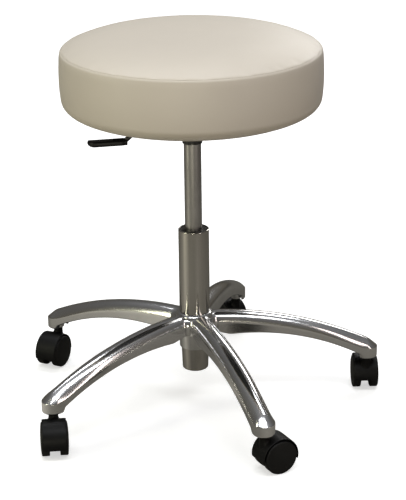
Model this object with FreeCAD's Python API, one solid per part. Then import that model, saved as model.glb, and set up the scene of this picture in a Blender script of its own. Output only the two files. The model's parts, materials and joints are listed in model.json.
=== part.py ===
import FreeCAD, Part
import math
import os

from FreeCAD import Placement, Rotation, Vector

# Dentist's stool: a round upholstered seat on a gas lift, over a five-arm cast base on twin-wheel casters.
# Millimetres. The origin is on the floor under the column's axis, +Z is up, and the lever points along -X.
# The stool is drawn with its seat at the top of the travel.

# ---- Driving dimensions ----------------------------------------------------------------------------

SEAT_TRAVEL = 130.0            # how far the gas lift lets the seat down

# Base casting
ARM_COUNT = 5
FIRST_ARM_ANGLE = 3.15         # degrees from +X
ARM_PITCH = 360.0 / ARM_COUNT
STEM_CIRCLE_RADIUS = 287.0     # column axis to caster stem axis
ARM_HALF_WIDTH = 17.5
VALLEY_RADIUS = 10.0           # rounding between two arms, in plan
ARM_EDGE_RADIUS = 11.0         # rounding of the arms' upper edges
ARM_WALL = 4.0
ARM_ROOF = 5.0
CREST_HEIGHT = 156.0           # top of the arms at the hub
CREST_START = 30.0             # radius at which the arms start to fall
CREST_ARC_RADIUS = 590.0
BELLY_HEIGHT = 119.5           # highest point of the arms' lower edge
BELLY_PEAK_RADIUS = 92.0
BELLY_ARC_RADIUS = 384.0
BELLY_START = 60.0
BELLY_END = 262.0
TIP_BOTTOM = 65.0              # underside of the arm tips, where the casters stand
TIP_START = 269.5
BASE_REACH = 312.0             # anything past the tips
HUB_BOSS_RADIUS = 25.5
HUB_BOSS_BOTTOM = 95.0
HUB_BOSS_TOP = 127.0
HUB_CORE_RADIUS = 33.0
HUB_RIM_RADIUS = 28.0
HUB_RIM_TOP = 157.5
TIP_BOSS_RADIUS = 10.5
RIB_RADII = (110.0, 165.0, 220.0)
RIB_THICKNESS = 3.0
RIB_LIFT = 6.0                 # the ribs stop this far above the arms' lower edge

# Column
COLUMN_RADIUS = 25.0
COLUMN_WALL = 2.0
COLUMN_TOP = 300.0
COLUMN_RIM_RADIUS = 1.0
COLUMN_BOTTOM = 55.0
COLUMN_TAIL_RADIUS = 21.5
COLUMN_TAIL_HEIGHT = 62.0      # where the taper ends
COLUMN_TAIL_ROUND = 3.5
PLATE_BOTTOM = 58.0            # plate that closes the column and carries the piston rod
PLATE_TOP = 61.0
PLATE_HOLE_RADIUS = 4.4
BUSH_TOP = 299.0
BUSH_BOTTOM = 222.0
BUSH_SLEEVE_WALL = 2.5
BUSH_COLLAR_HEIGHT = 4.0
BUSH_RIB_COUNT = 6
BUSH_RIB_THICKNESS = 2.5

# Thrust bearing and piston rod
RACE_RADIUS = 11.0
RACE_THICKNESS = 2.0
BALL_RADIUS = 1.5
BALL_COUNT = 10
BALL_CIRCLE_RADIUS = 8.0
BALL_SLACK = 0.1
CAGE_THICKNESS = 1.8
CAGE_INNER_RADIUS = 5.6
CAGE_OUTER_RADIUS = 10.4
ROD_RADIUS = 5.0
ROD_NECK_RADIUS = 4.0
ROD_BOTTOM = 54.5
ROD_TOP = 238.0
CLIP_BOTTOM = 56.2
CLIP_THICKNESS = 1.2
CLIP_RADIUS = 8.0
CLIP_GROOVE_RADIUS = 3.2
BUFFER_RADIUS = 12.0
BUFFER_GAP = 0.8               # left under the pressure tube at the bottom of the travel
PISTON_BOTTOM = 226.0
PISTON_HEIGHT = 10.0
PISTON_SEAL_RADIUS = 1.3

# Pressure tube
TUBE_RADIUS = 14.0
TUBE_BORE_RADIUS = 12.2
TUBE_BOTTOM = 204.0
TUBE_TOP = 475.0
TUBE_TAPER_START = 446.0
TUBE_TAPER_RADIUS = 13.55
RUNNING_GAP = 0.05
ROD_GUIDE_HEIGHT = 12.0
ROD_SEAL_HEIGHT = 5.0
VALVE_BLOCK_BOTTOM = 440.0
VALVE_PIN_RADIUS = 3.0
VALVE_PIN_BOTTOM = 436.0
VALVE_PIN_TOP = 479.7
VALVE_PIN_BEVEL = 0.6

# Lever and its housing
SOCKET_RADIUS = 16.0
SOCKET_BOTTOM = 445.0
SOCKET_TOP = 474.0
HOUSING_LENGTH = 92.0
HOUSING_WIDTH = 60.0
HOUSING_BOTTOM = 462.0
SHEET = 2.5
LEVER_SLOT_BOTTOM = 479.6
LEVER_SLOT_TOP = 494.0
LEVER_SLOT_WIDTH = 12.0
LEVER_ROD_RADIUS = 4.0
LEVER_HEIGHT = 484.0           # straight part of the rod, over the valve pin
LEVER_END = 5.0
NECK_TOP_X = -68.0
NECK_BOTTOM_X = -108.0
PADDLE_HEIGHT = 447.5
NECK_BEND_RADIUS = 12.0
PADDLE_OUTER_X = -167.0
PADDLE_INNER_X = -106.0
PADDLE_WIDTH = 20.0
PADDLE_THICKNESS = 9.0
PADDLE_DROOP = 3.4             # degrees that the paddle hangs below level towards its outer end
PADDLE_BIG_CORNER = 14.0
PADDLE_SMALL_CORNER = 5.0
PADDLE_EDGE = 1.5
PADDLE_NOSE = (12.0, 6.0)       # length and height of the bevel under the outer end
PADDLE_BOSS_RADIUS = 6.0
PADDLE_BOSS_OUTER_X = -128.0
PADDLE_BOSS_INNER_X = -103.0
LEVER_ROD_OUTER_X = -120.0
PIVOT_X = -22.0
PIVOT_HEIGHT = 477.0
PIVOT_RADIUS = 2.5
PIVOT_HEAD_RADIUS = 4.5
PIVOT_HEAD_THICKNESS = 1.5
ROCKER_SIZE = (11.0, 14.0)     # along the lever, where it stays clear of the socket, and across it
ROCKER_BOTTOM = 472.0
ROCKER_TOP = 490.0

# Seat plate, board and their fasteners
PLATE_SIDE = 180.0
PLATE_THICKNESS = 3.0
PLATE_CORNER = 15.0
SEAT_PLATE_TOP = 500.9
BOLT_SPACING = 146.0
BOLT_RADIUS = 3.0
BOLT_CLEARANCE_RADIUS = 3.4
BOLT_HEAD_FLATS = 10.0
BOLT_HEAD_HEIGHT = 4.0
BOLT_TOP = 512.0
NUT_BARREL_RADIUS = 4.0
NUT_FLANGE_RADIUS = 9.0
NUT_FLANGE_THICKNESS = 1.2
BOARD_RADIUS = 183.0
BOARD_BOTTOM = 501.8
BOARD_THICKNESS = 12.0
BOARD_BEVEL = (12.0, 4.0)      # routed off the lower edge for the cover: along the underside, up the edge

# Cushion: the outline from the middle of the crown, over the seam, down and under the board
COVER_THICKNESS = 1.2
SEAM_RADIUS = 203.0
SEAM_HEIGHT = 600.0
CROWN_HEIGHT = 23.0
CROWN_FULLNESS = 4.5           # exponent of the crown: the higher, the flatter its middle
CROWN_STATIONS = (0.0, 60.0, 105.0, 140.0, 165.0, 182.0, 194.0, 203.0)
SIDE_SPANS = (                 # cubic Bezier spans from the seam down to the flat underside
    ((203.0, 600.0), (207.0, 593.0), (208.0, 577.0), (208.0, 556.0)),
    ((208.0, 556.0), (208.0, 541.0), (207.2, 533.0), (206.0, 522.0)),
    ((206.0, 522.0), (204.7, 509.5), (190.5, 500.6), (172.0, 500.6)),
)
SPAN_STATIONS = 6
BAND_HEM_RADIUS = 160.0
HEM_TAPER = 6.0
DUST_COVER_RADIUS = 170.0
DUST_COVER_THICKNESS = 0.8
DUST_COVER_STEP_RADIUS = 157.0
STAPLE_COUNT = 32
STAPLE_CIRCLE_RADIUS = 165.0
STAPLE_WIDTH = 9.0
STAPLE_WIRE = (0.7, 0.8)       # thickness along the leg's plane, and across it
STAPLE_LEG_TOP = 508.0

# Casters: twin wheels on an axle behind the stem
WHEEL_TRAILS = (92.0, 135.0, 245.0, 276.0, 28.0)   # direction from each stem to its axle
TRAIL = 20.0
WHEEL_RADIUS = 27.0
AXLE_RADIUS = 3.0
AXLE_HALF_LENGTH = 19.8
WHEEL_INNER_FACE = 8.0
WHEEL_TREAD_END = 18.8
WHEEL_SHOULDER = 20.8
WHEEL_OUTER_FACE = 22.2
WHEEL_CAP_RADIUS = 6.0
WHEEL_DOME_BULGE = 0.35
WHEEL_RIM_WALL = 3.5
WHEEL_HUB_RADIUS = 7.5
WHEEL_EDGE = 1.0
HOOD_RADIUS = 31.0
HOOD_CLEAR_RADIUS = 28.8       # inside of the hood, clear of the wheels
HOOD_HALF_WIDTH = 19.0
HOOD_REAR_ANGLE = -15.0        # where the hood ends behind the axle, above the level
HOOD_SWEEP = 205.0
WEB_HALF_WIDTH = 6.5
WEB_LOW = 22.0
WEB_BOSS_RADIUS = 12.0
NECK_RADIUS = 7.5
NECK_FOOT_RADIUS = 12.0
NECK_FOOT_BOTTOM = 45.0
NECK_FOOT_TOP = 58.5
NECK_TOP = 64.0
STEM_RADIUS = 5.5
STEM_BOTTOM = 47.8
STEM_TOP = 87.5
STEM_SEAT_DEPTH = 47.5         # bottom of the stem's bore in the hood
STEM_FLANGE_RADIUS = 8.5
STEM_FLANGE_BOTTOM = 64.3
STEM_SOCKET_RADIUS = 5.6
STEM_SOCKET_TOP = 88.5
STEM_GROOVE = (76.0, 84.0)
STEM_GROOVE_RADIUS = 4.6
STEM_CHAMFER = 1.0
GRIP_RING_GAP = 2.0

UP = Vector(0, 0, 1)
ACROSS = Vector(0, 1, 0)
ORIGIN = Vector(0, 0, 0)

# ---- Shared shapes ---------------------------------------------------------------------------------


def disc(radius, low, high, x=0.0, y=0.0):
    """An upright cylinder."""
    return Part.makeCylinder(radius, high - low, Vector(x, y, low))


def ring(outer, inner, low, high):
    """An upright tube about the column's axis."""
    return disc(outer, low, high).cut(disc(inner, low - 1, high + 1))


def block(x, y, z):
    """A box between the low and high value of each axis."""
    return Part.makeBox(x[1] - x[0], y[1] - y[0], z[1] - z[0], Vector(x[0], y[0], z[0]))


def centred(width):
    """A low and high value either side of zero."""
    return (-width / 2, width / 2)


def polygon(points):
    """The edges of an open run of (radius, height) points in the XZ plane."""
    corners = [Vector(r, 0, z) for r, z in points]
    return [Part.LineSegment(a, b).toShape() for a, b in zip(corners, corners[1:])]


def turned(edges, start_angle=0.0):
    """The solid that a closed profile in the XZ plane sweeps about the column's axis."""
    face = Part.Face(Part.Wire(Part.__sortEdges__(edges)))
    face.rotate(ORIGIN, UP, start_angle)
    return face.revolve(ORIGIN, UP, 360)


def turned_polygon(points):
    return turned(polygon(points + points[:1]))


def fused(shapes):
    return shapes[0].multiFuse(shapes[1:]).removeSplitter()


def placed(shape, angle, x=0.0, y=0.0):
    """A copy turned about +Z and moved in plan."""
    copy = shape.copy()
    copy.Placement = Placement(Vector(x, y, 0), Rotation(UP, angle))
    return copy


def around(shape, count, radius=0.0, first_angle=0.0):
    """Copies of a shape spread evenly on a circle about the column's axis."""
    angles = [first_angle + 360.0 * k / count for k in range(count)]
    return [placed(shape, a, radius * math.cos(math.radians(a)), radius * math.sin(math.radians(a)))
            for a in angles]


def circles_at(shape, height):
    """The edges that lie level at one height."""
    box_hits = lambda e: abs(e.BoundBox.ZMin - height) < 1e-3 and abs(e.BoundBox.ZMax - height) < 1e-3
    return [e for e in shape.Edges if box_hits(e)]


def arm_angles():
    return [FIRST_ARM_ANGLE + ARM_PITCH * k for k in range(ARM_COUNT)]


def at_stem(shape, number, angle):
    """Puts a caster part at one arm's stem, turned to an angle of its own."""
    arm = math.radians(arm_angles()[number])
    return placed(shape, angle, STEM_CIRCLE_RADIUS * math.cos(arm), STEM_CIRCLE_RADIUS * math.sin(arm))


# ---- Base body -------------------------------------------------------------------------------------


def star_face(inset):
    """The five arms in plan: straight sides, round tips, round valleys."""
    half = ARM_HALF_WIDTH - inset
    valley = VALLEY_RADIUS + inset
    half_pitch = math.radians(ARM_PITCH / 2)
    root = (half + valley) / math.tan(half_pitch)
    valley_floor = (half + valley) / math.sin(half_pitch) - valley
    edges = []
    for angle in arm_angles():
        turn = math.radians(angle)
        along = Vector(math.cos(turn), math.sin(turn), 0)
        left = Vector(-along.y, along.x, 0)
        nearer = Vector(math.cos(turn + half_pitch), math.sin(turn + half_pitch), 0)
        next_along = Vector(math.cos(turn + 2 * half_pitch), math.sin(turn + 2 * half_pitch), 0)
        next_right = Vector(next_along.y, -next_along.x, 0)
        right_root = along * root - left * half
        right_tip = along * STEM_CIRCLE_RADIUS - left * half
        left_tip = along * STEM_CIRCLE_RADIUS + left * half
        left_root = along * root + left * half
        tip = along * (STEM_CIRCLE_RADIUS + half)
        edges.append(Part.LineSegment(right_root, right_tip).toShape())
        edges.append(Part.Arc(right_tip, tip, left_tip).toShape())
        edges.append(Part.LineSegment(left_tip, left_root).toShape())
        edges.append(Part.Arc(left_root, nearer * valley_floor, next_along * root + next_right * half).toShape())
    return Part.Face(Part.Wire(edges))


def crest(radius, depth=0.0):
    """Height of the arms' upper line at a radius, or of a line that runs a depth below it."""
    fall = CREST_ARC_RADIUS - depth
    return CREST_HEIGHT - CREST_ARC_RADIUS + math.sqrt(fall ** 2 - (radius - CREST_START) ** 2)


def belly(radius):
    """Height of the arms' lower edge at a radius."""
    drop = BELLY_ARC_RADIUS - math.sqrt(BELLY_ARC_RADIUS ** 2 - (radius - BELLY_PEAK_RADIUS) ** 2)
    return BELLY_HEIGHT - drop


def profile_arc(height_at, start, end):
    """An arc through a height formula's start, middle and end."""
    points = [Vector(r, 0, height_at(r)) for r in (start, (start + end) / 2, end)]
    return Part.Arc(*points).toShape()


def star_envelope():
    """The turned body between the arms' upper and lower lines."""
    edges = polygon([(0, HUB_BOSS_BOTTOM), (HUB_BOSS_RADIUS, HUB_BOSS_BOTTOM), (HUB_BOSS_RADIUS, HUB_BOSS_TOP),
                     (BELLY_START, belly(BELLY_START))])
    edges.append(profile_arc(belly, BELLY_START, BELLY_END))
    edges += polygon([(BELLY_END, belly(BELLY_END)), (TIP_START, TIP_BOTTOM), (BASE_REACH, TIP_BOTTOM),
                      (BASE_REACH, crest(BASE_REACH))])
    edges.append(profile_arc(crest, BASE_REACH, CREST_START))
    edges += polygon([(CREST_START, CREST_HEIGHT), (0, CREST_HEIGHT), (0, HUB_BOSS_BOTTOM)])
    return turned(edges, FIRST_ARM_ANGLE + ARM_PITCH / 2)


def arm_top_edges(shape):
    """The edges where the arms' upper face meets their sides."""
    found = []
    for edge in shape.Edges:
        points = edge.discretize(5)
        radii = [math.hypot(p.x, p.y) for p in points]
        on_top = all(abs(p.z - crest(r)) < 0.01 for p, r in zip(points, radii) if r > CREST_START)
        if min(radii) > CREST_START + 1 and on_top:
            found.append(edge)
    return found


def arm_hollow():
    """The space under the arms: open below, crossed by ribs, with a boss left at each tip."""
    roof = lambda r: crest(r, ARM_ROOF)
    edges = [profile_arc(roof, HUB_CORE_RADIUS, BASE_REACH)]
    edges += polygon([(BASE_REACH, roof(BASE_REACH)), (BASE_REACH, 0), (HUB_CORE_RADIUS, 0),
                      (HUB_CORE_RADIUS, roof(HUB_CORE_RADIUS))])
    plan = star_face(ARM_WALL).extrude(UP * CREST_HEIGHT)
    hollow = plan.common(turned(edges, FIRST_ARM_ANGLE + ARM_PITCH / 2))
    kept = around(disc(TIP_BOSS_RADIUS, 0, CREST_HEIGHT), ARM_COUNT, STEM_CIRCLE_RADIUS, FIRST_ARM_ANGLE)
    for radius in RIB_RADII:
        kept.append(ring(radius + RIB_THICKNESS, radius, belly(radius) + RIB_LIFT, CREST_HEIGHT))
    return hollow.cut(kept)


def column_taper(height):
    """Outer radius of the column where it sits in the hub and below."""
    share = (height - COLUMN_TAIL_HEIGHT) / (HUB_RIM_TOP - COLUMN_TAIL_HEIGHT)
    return COLUMN_TAIL_RADIUS + share * (COLUMN_RADIUS - COLUMN_TAIL_RADIUS)


def star_base():
    plan = star_face(0.0).extrude(UP * (CREST_HEIGHT + 10))
    casting = plan.fuse(disc(HUB_BOSS_RADIUS, 0, CREST_HEIGHT)).common(star_envelope())
    casting = casting.makeFillet(ARM_EDGE_RADIUS, arm_top_edges(casting))
    rim = turned_polygon([(0, CREST_HEIGHT - 6), (HUB_RIM_RADIUS + 3, CREST_HEIGHT - 6),
                          (HUB_RIM_RADIUS + 3, CREST_HEIGHT - 0.5), (HUB_RIM_RADIUS, HUB_RIM_TOP - 0.5),
                          (HUB_RIM_RADIUS - 1, HUB_RIM_TOP), (0, HUB_RIM_TOP)])
    casting = casting.fuse(rim).cut(arm_hollow())
    bore = turned_polygon([(0, 0), (COLUMN_TAIL_RADIUS, 0), (COLUMN_TAIL_RADIUS, COLUMN_TAIL_HEIGHT),
                           (COLUMN_RADIUS, HUB_RIM_TOP), (COLUMN_RADIUS, HUB_RIM_TOP + 10), (0, HUB_RIM_TOP + 10)])
    sockets = around(disc(STEM_SOCKET_RADIUS, 0, STEM_SOCKET_TOP), ARM_COUNT, STEM_CIRCLE_RADIUS, FIRST_ARM_ANGLE)
    return casting.cut([bore] + sockets).removeSplitter()


def column_tube():
    """The outer tube: straight above the hub, tapered into it, closed by a plate near the bottom."""
    inside = COLUMN_RADIUS - COLUMN_WALL
    tail = COLUMN_TAIL_RADIUS - COLUMN_WALL
    shell = turned_polygon([(COLUMN_RADIUS, COLUMN_TOP), (COLUMN_RADIUS, HUB_RIM_TOP),
                            (COLUMN_TAIL_RADIUS, COLUMN_TAIL_HEIGHT), (COLUMN_TAIL_RADIUS, COLUMN_BOTTOM),
                            (tail - 2, COLUMN_BOTTOM), (tail - 2, PLATE_BOTTOM), (PLATE_HOLE_RADIUS, PLATE_BOTTOM),
                            (PLATE_HOLE_RADIUS, PLATE_TOP), (tail, PLATE_TOP), (tail, COLUMN_TAIL_HEIGHT),
                            (inside, HUB_RIM_TOP), (inside, COLUMN_TOP)])
    shell = shell.makeFillet(COLUMN_TAIL_ROUND, [e for e in circles_at(shell, COLUMN_BOTTOM)
                                                 if e.Curve.Radius > tail])
    return shell.makeFillet(COLUMN_RIM_RADIUS, [e for e in circles_at(shell, COLUMN_TOP)
                                                if e.Curve.Radius > inside])


def guide_bush():
    """The plastic bush that guides the pressure tube: a ribbed sleeve between two collars."""
    outer = COLUMN_RADIUS - COLUMN_WALL
    bore = TUBE_RADIUS + RUNNING_GAP
    sleeve = bore + BUSH_SLEEVE_WALL
    pieces = [disc(sleeve, BUSH_BOTTOM, BUSH_TOP),
              disc(outer, BUSH_BOTTOM, BUSH_BOTTOM + BUSH_COLLAR_HEIGHT),
              disc(outer, BUSH_TOP - BUSH_COLLAR_HEIGHT, BUSH_TOP)]
    rib = block((0, outer - 0.05), centred(BUSH_RIB_THICKNESS), (BUSH_BOTTOM, BUSH_TOP))
    pieces += around(rib, BUSH_RIB_COUNT)
    return fused(pieces).cut(disc(bore, BUSH_BOTTOM - 1, BUSH_TOP + 1))


def ball_height():
    return PLATE_TOP + RACE_THICKNESS + BALL_RADIUS


def upper_race_bottom():
    return ball_height() + BALL_RADIUS + BALL_SLACK


def bearing_lower_race():
    return ring(RACE_RADIUS, PLATE_HOLE_RADIUS, PLATE_TOP, PLATE_TOP + RACE_THICKNESS)


def bearing_balls():
    balls = around(Part.makeSphere(BALL_RADIUS, Vector(0, 0, ball_height())), BALL_COUNT, BALL_CIRCLE_RADIUS)
    return Part.makeCompound(balls)


def bearing_cage():
    low = ball_height() - CAGE_THICKNESS / 2
    cage = ring(CAGE_OUTER_RADIUS, CAGE_INNER_RADIUS, low, low + CAGE_THICKNESS)
    pocket = disc(BALL_RADIUS + BALL_SLACK, low - 1, low + CAGE_THICKNESS + 1)
    return cage.cut(around(pocket, BALL_COUNT, BALL_CIRCLE_RADIUS))


def caster_stem():
    """A steel stem with a flange under the arm and a groove for its grip ring."""
    groove_low, groove_high = STEM_GROOVE
    return turned_polygon([(0, STEM_BOTTOM), (STEM_RADIUS, STEM_BOTTOM), (STEM_RADIUS, STEM_FLANGE_BOTTOM),
                           (STEM_FLANGE_RADIUS, STEM_FLANGE_BOTTOM), (STEM_FLANGE_RADIUS, TIP_BOTTOM),
                           (STEM_RADIUS, TIP_BOTTOM), (STEM_RADIUS, groove_low), (STEM_GROOVE_RADIUS, groove_low),
                           (STEM_GROOVE_RADIUS, groove_high), (STEM_RADIUS, groove_high),
                           (STEM_RADIUS, STEM_TOP - STEM_CHAMFER), (STEM_RADIUS - STEM_CHAMFER, STEM_TOP),
                           (0, STEM_TOP)])


def stem_grip_rings():
    """The five split spring rings that hold the stems in the arms."""
    low, high = STEM_GROOVE
    spring = ring(STEM_SOCKET_RADIUS, STEM_GROOVE_RADIUS, low + 0.2, high - 0.2)
    spring = spring.cut(block((0, STEM_FLANGE_RADIUS), centred(GRIP_RING_GAP), (low, high)))
    return Part.makeCompound(around(spring, ARM_COUNT, STEM_CIRCLE_RADIUS, FIRST_ARM_ANGLE))


# ---- Piston rod body -------------------------------------------------------------------------------


def rod_shoulder():
    return upper_race_bottom() + RACE_THICKNESS


def piston_rod():
    clip_top = CLIP_BOTTOM + CLIP_THICKNESS
    return turned_polygon([(0, ROD_BOTTOM), (ROD_NECK_RADIUS, ROD_BOTTOM), (ROD_NECK_RADIUS, CLIP_BOTTOM),
                           (CLIP_GROOVE_RADIUS, CLIP_BOTTOM), (CLIP_GROOVE_RADIUS, clip_top),
                           (ROD_NECK_RADIUS, clip_top), (ROD_NECK_RADIUS, rod_shoulder()),
                           (ROD_RADIUS, rod_shoulder()), (ROD_RADIUS, ROD_TOP), (0, ROD_TOP)])


def rod_clip():
    """The retaining clip under the column's plate."""
    clip_top = CLIP_BOTTOM + CLIP_THICKNESS
    clip = ring(CLIP_RADIUS, CLIP_GROOVE_RADIUS, CLIP_BOTTOM, clip_top)
    return clip.cut(block((0, CLIP_RADIUS + 1), centred(2 * CLIP_GROOVE_RADIUS - 0.8), (CLIP_BOTTOM, clip_top)))


def bearing_upper_race():
    return ring(RACE_RADIUS, ROD_NECK_RADIUS, upper_race_bottom(), rod_shoulder())


def rubber_buffer():
    """The rubber ring that ends the seat's way down."""
    return ring(BUFFER_RADIUS, ROD_RADIUS, rod_shoulder(), TUBE_BOTTOM - SEAT_TRAVEL - BUFFER_GAP)


def piston_seal_ring():
    middle = PISTON_BOTTOM + PISTON_HEIGHT / 2
    reach = TUBE_BORE_RADIUS - RUNNING_GAP - PISTON_SEAL_RADIUS
    return Part.makeTorus(reach, PISTON_SEAL_RADIUS, Vector(0, 0, middle))


def piston():
    body = ring(TUBE_BORE_RADIUS - RUNNING_GAP, ROD_RADIUS, PISTON_BOTTOM, PISTON_BOTTOM + PISTON_HEIGHT)
    middle = PISTON_BOTTOM + PISTON_HEIGHT / 2
    groove = ring(TUBE_RADIUS, TUBE_BORE_RADIUS - RUNNING_GAP - 2 * PISTON_SEAL_RADIUS,
                  middle - PISTON_SEAL_RADIUS, middle + PISTON_SEAL_RADIUS)
    return body.cut(groove)


# ---- Seat body -------------------------------------------------------------------------------------


def pressure_tube():
    """The sliding tube, with a tapered top that seats in the socket."""
    return turned_polygon([(TUBE_BORE_RADIUS, TUBE_BOTTOM), (TUBE_RADIUS, TUBE_BOTTOM),
                           (TUBE_RADIUS, TUBE_TAPER_START), (TUBE_TAPER_RADIUS, TUBE_TOP),
                           (TUBE_BORE_RADIUS, TUBE_TOP)])


def rod_guide():
    return ring(TUBE_BORE_RADIUS, ROD_RADIUS + RUNNING_GAP, TUBE_BOTTOM, TUBE_BOTTOM + ROD_GUIDE_HEIGHT)


def rod_seal():
    low = TUBE_BOTTOM + ROD_GUIDE_HEIGHT
    return ring(TUBE_BORE_RADIUS, ROD_RADIUS + RUNNING_GAP, low, low + ROD_SEAL_HEIGHT)


def valve_block():
    return ring(TUBE_BORE_RADIUS, VALVE_PIN_RADIUS + RUNNING_GAP, VALVE_BLOCK_BOTTOM, TUBE_TOP)


def taper_socket():
    """The sleeve in the housing that the pressure tube's taper jams into."""
    share = (SOCKET_TOP - TUBE_TAPER_START) / (TUBE_TOP - TUBE_TAPER_START)
    top_radius = TUBE_RADIUS + share * (TUBE_TAPER_RADIUS - TUBE_RADIUS)
    return turned_polygon([(TUBE_RADIUS, SOCKET_BOTTOM), (SOCKET_RADIUS, SOCKET_BOTTOM),
                           (SOCKET_RADIUS, SOCKET_TOP), (top_radius, SOCKET_TOP),
                           (TUBE_RADIUS, TUBE_TAPER_START)])


def seat_plate_bottom():
    return SEAT_PLATE_TOP - PLATE_THICKNESS


def lever_housing():
    """A folded steel box under the seat plate, slotted for the lever and bored for its pivot."""
    top = seat_plate_bottom()
    box = block(centred(HOUSING_LENGTH), centred(HOUSING_WIDTH), (HOUSING_BOTTOM, top))
    inside = block(centred(HOUSING_LENGTH - 2 * SHEET), centred(HOUSING_WIDTH - 2 * SHEET),
                   (HOUSING_BOTTOM + SHEET, top))
    slot = block((-HOUSING_LENGTH, -HOUSING_LENGTH / 4), centred(LEVER_SLOT_WIDTH),
                 (LEVER_SLOT_BOTTOM, LEVER_SLOT_TOP))
    pivot = Part.makeCylinder(PIVOT_RADIUS, HOUSING_WIDTH, Vector(PIVOT_X, -HOUSING_WIDTH / 2, PIVOT_HEIGHT), ACROSS)
    box = box.makeFillet(SHEET, [e for e in box.Edges if e.BoundBox.ZLength > SHEET])
    return box.cut([inside, slot, pivot, disc(SOCKET_RADIUS, HOUSING_BOTTOM - 1, HOUSING_BOTTOM + SHEET)])


def lever_pivot_pin():
    """A headed pin across the housing, swaged over at its far end."""
    half = HOUSING_WIDTH / 2
    shank = Part.makeCylinder(PIVOT_RADIUS, HOUSING_WIDTH, Vector(PIVOT_X, -half, PIVOT_HEIGHT), ACROSS)
    heads = [Part.makeCylinder(PIVOT_HEAD_RADIUS, PIVOT_HEAD_THICKNESS, Vector(PIVOT_X, y, PIVOT_HEIGHT), ACROSS)
             for y in (-half - PIVOT_HEAD_THICKNESS, half)]
    return fused([shank] + heads)


def bolt_places():
    half = BOLT_SPACING / 2
    return [(x, y) for x in (-half, half) for y in (-half, half)]


def seat_plate():
    plate = block(centred(PLATE_SIDE), centred(PLATE_SIDE), (seat_plate_bottom(), SEAT_PLATE_TOP))
    corners = [e for e in plate.Edges if e.BoundBox.ZLength > PLATE_THICKNESS / 2]
    plate = plate.makeFillet(PLATE_CORNER, corners)
    return plate.cut([disc(BOLT_CLEARANCE_RADIUS, 0, BOLT_TOP, x, y) for x, y in bolt_places()])


def seat_bolts():
    """Four hexagon-head bolts up through the plate into the board's tee nuts."""
    corner_radius = BOLT_HEAD_FLATS / 2 / math.cos(math.radians(30))
    head_bottom = seat_plate_bottom() - BOLT_HEAD_HEIGHT
    corners = [Vector(corner_radius, 0, head_bottom)]
    corners = [Rotation(UP, 60 * k).multVec(corners[0]) for k in range(7)]
    head = Part.Face(Part.makePolygon(corners)).extrude(UP * BOLT_HEAD_HEIGHT)
    bolt = head.fuse(disc(BOLT_RADIUS, head_bottom, BOLT_TOP)).removeSplitter()
    return Part.makeCompound([placed(bolt, 0, x, y) for x, y in bolt_places()])


def board_top():
    return BOARD_BOTTOM + BOARD_THICKNESS


def seat_tee_nuts():
    nut = fused([disc(NUT_BARREL_RADIUS, BOARD_BOTTOM + 2, board_top()),
                 disc(NUT_FLANGE_RADIUS, board_top(), board_top() + NUT_FLANGE_THICKNESS)])
    nut = nut.cut(disc(BOLT_RADIUS, BOARD_BOTTOM, board_top() + 5))
    return Part.makeCompound([placed(nut, 0, x, y) for x, y in bolt_places()])


def seat_board():
    """The round plywood board, bevelled below so that the cover turns under it without a crease."""
    along, up = BOARD_BEVEL
    board = turned_polygon([(0, BOARD_BOTTOM), (BOARD_RADIUS - along, BOARD_BOTTOM), (BOARD_RADIUS, BOARD_BOTTOM + up),
                            (BOARD_RADIUS, board_top()), (0, board_top())])
    return board.cut([disc(NUT_BARREL_RADIUS, 0, 2 * BOARD_BOTTOM, x, y) for x, y in bolt_places()])


def crown_points(inset):
    """The cushion's top line, or one set a distance inside it."""
    reach = SEAM_RADIUS - inset
    return [Vector(r * reach / SEAM_RADIUS, 0,
                   SEAM_HEIGHT - inset + CROWN_HEIGHT * (1 - (r / SEAM_RADIUS) ** CROWN_FULLNESS))
            for r in CROWN_STATIONS]


def side_points(inset):
    """The cushion's side line from the seam to its flat underside, or one set a distance inside it."""
    points = []
    for span in SIDE_SPANS:
        curve = Part.BezierCurve()
        curve.setPoles([Vector(r, 0, z) for r, z in span])
        for k in range(SPAN_STATIONS + 1):
            if points and k == 0:
                continue
            place = curve.value(k / SPAN_STATIONS)
            run = Vector(*curve.tangent(k / SPAN_STATIONS)[0])
            inward = Vector(run.z, 0, -run.x)
            points.append(place + inward * inset)
    points[0] = Vector(SEAM_RADIUS - inset, 0, SEAM_HEIGHT - inset)
    return points


def smooth_edge(points):
    curve = Part.BSplineCurve()
    curve.interpolate(points)
    return curve.toShape()


def flat(point):
    return (point.x, point.z)


def seat_top_panel():
    """The vinyl disc over the crown."""
    outer = crown_points(0.0)
    inner = crown_points(COVER_THICKNESS)
    edges = [smooth_edge(outer), smooth_edge(inner)]
    edges += polygon([flat(outer[0]), flat(inner[0])]) + polygon([flat(outer[-1]), flat(inner[-1])])
    return turned(edges)


def seat_side_band():
    """The vinyl band from the seam, round the side and under the board, where it is stapled."""
    outer = side_points(0.0)
    inner = side_points(COVER_THICKNESS)
    edges = [smooth_edge(outer), smooth_edge(inner)]
    edges += polygon([flat(outer[0]), flat(inner[0])])
    edges += polygon([flat(outer[-1]), (BAND_HEM_RADIUS, outer[-1].z), (BAND_HEM_RADIUS, inner[-1].z),
                      flat(inner[-1])])
    return turned(edges)


def seat_foam():
    """The foam pad: crowned above, wrapped round the board's edge below."""
    top = crown_points(COVER_THICKNESS)
    side = side_points(COVER_THICKNESS)
    edges = [smooth_edge(top), smooth_edge(side)]
    edges += polygon([flat(side[-1]), (0, side[-1].z), flat(top[0])])
    flanges = [disc(NUT_FLANGE_RADIUS, 0, board_top() + NUT_FLANGE_THICKNESS, x, y) for x, y in bolt_places()]
    return turned(edges).cut([disc(BOARD_RADIUS, 0, board_top())] + flanges)


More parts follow.
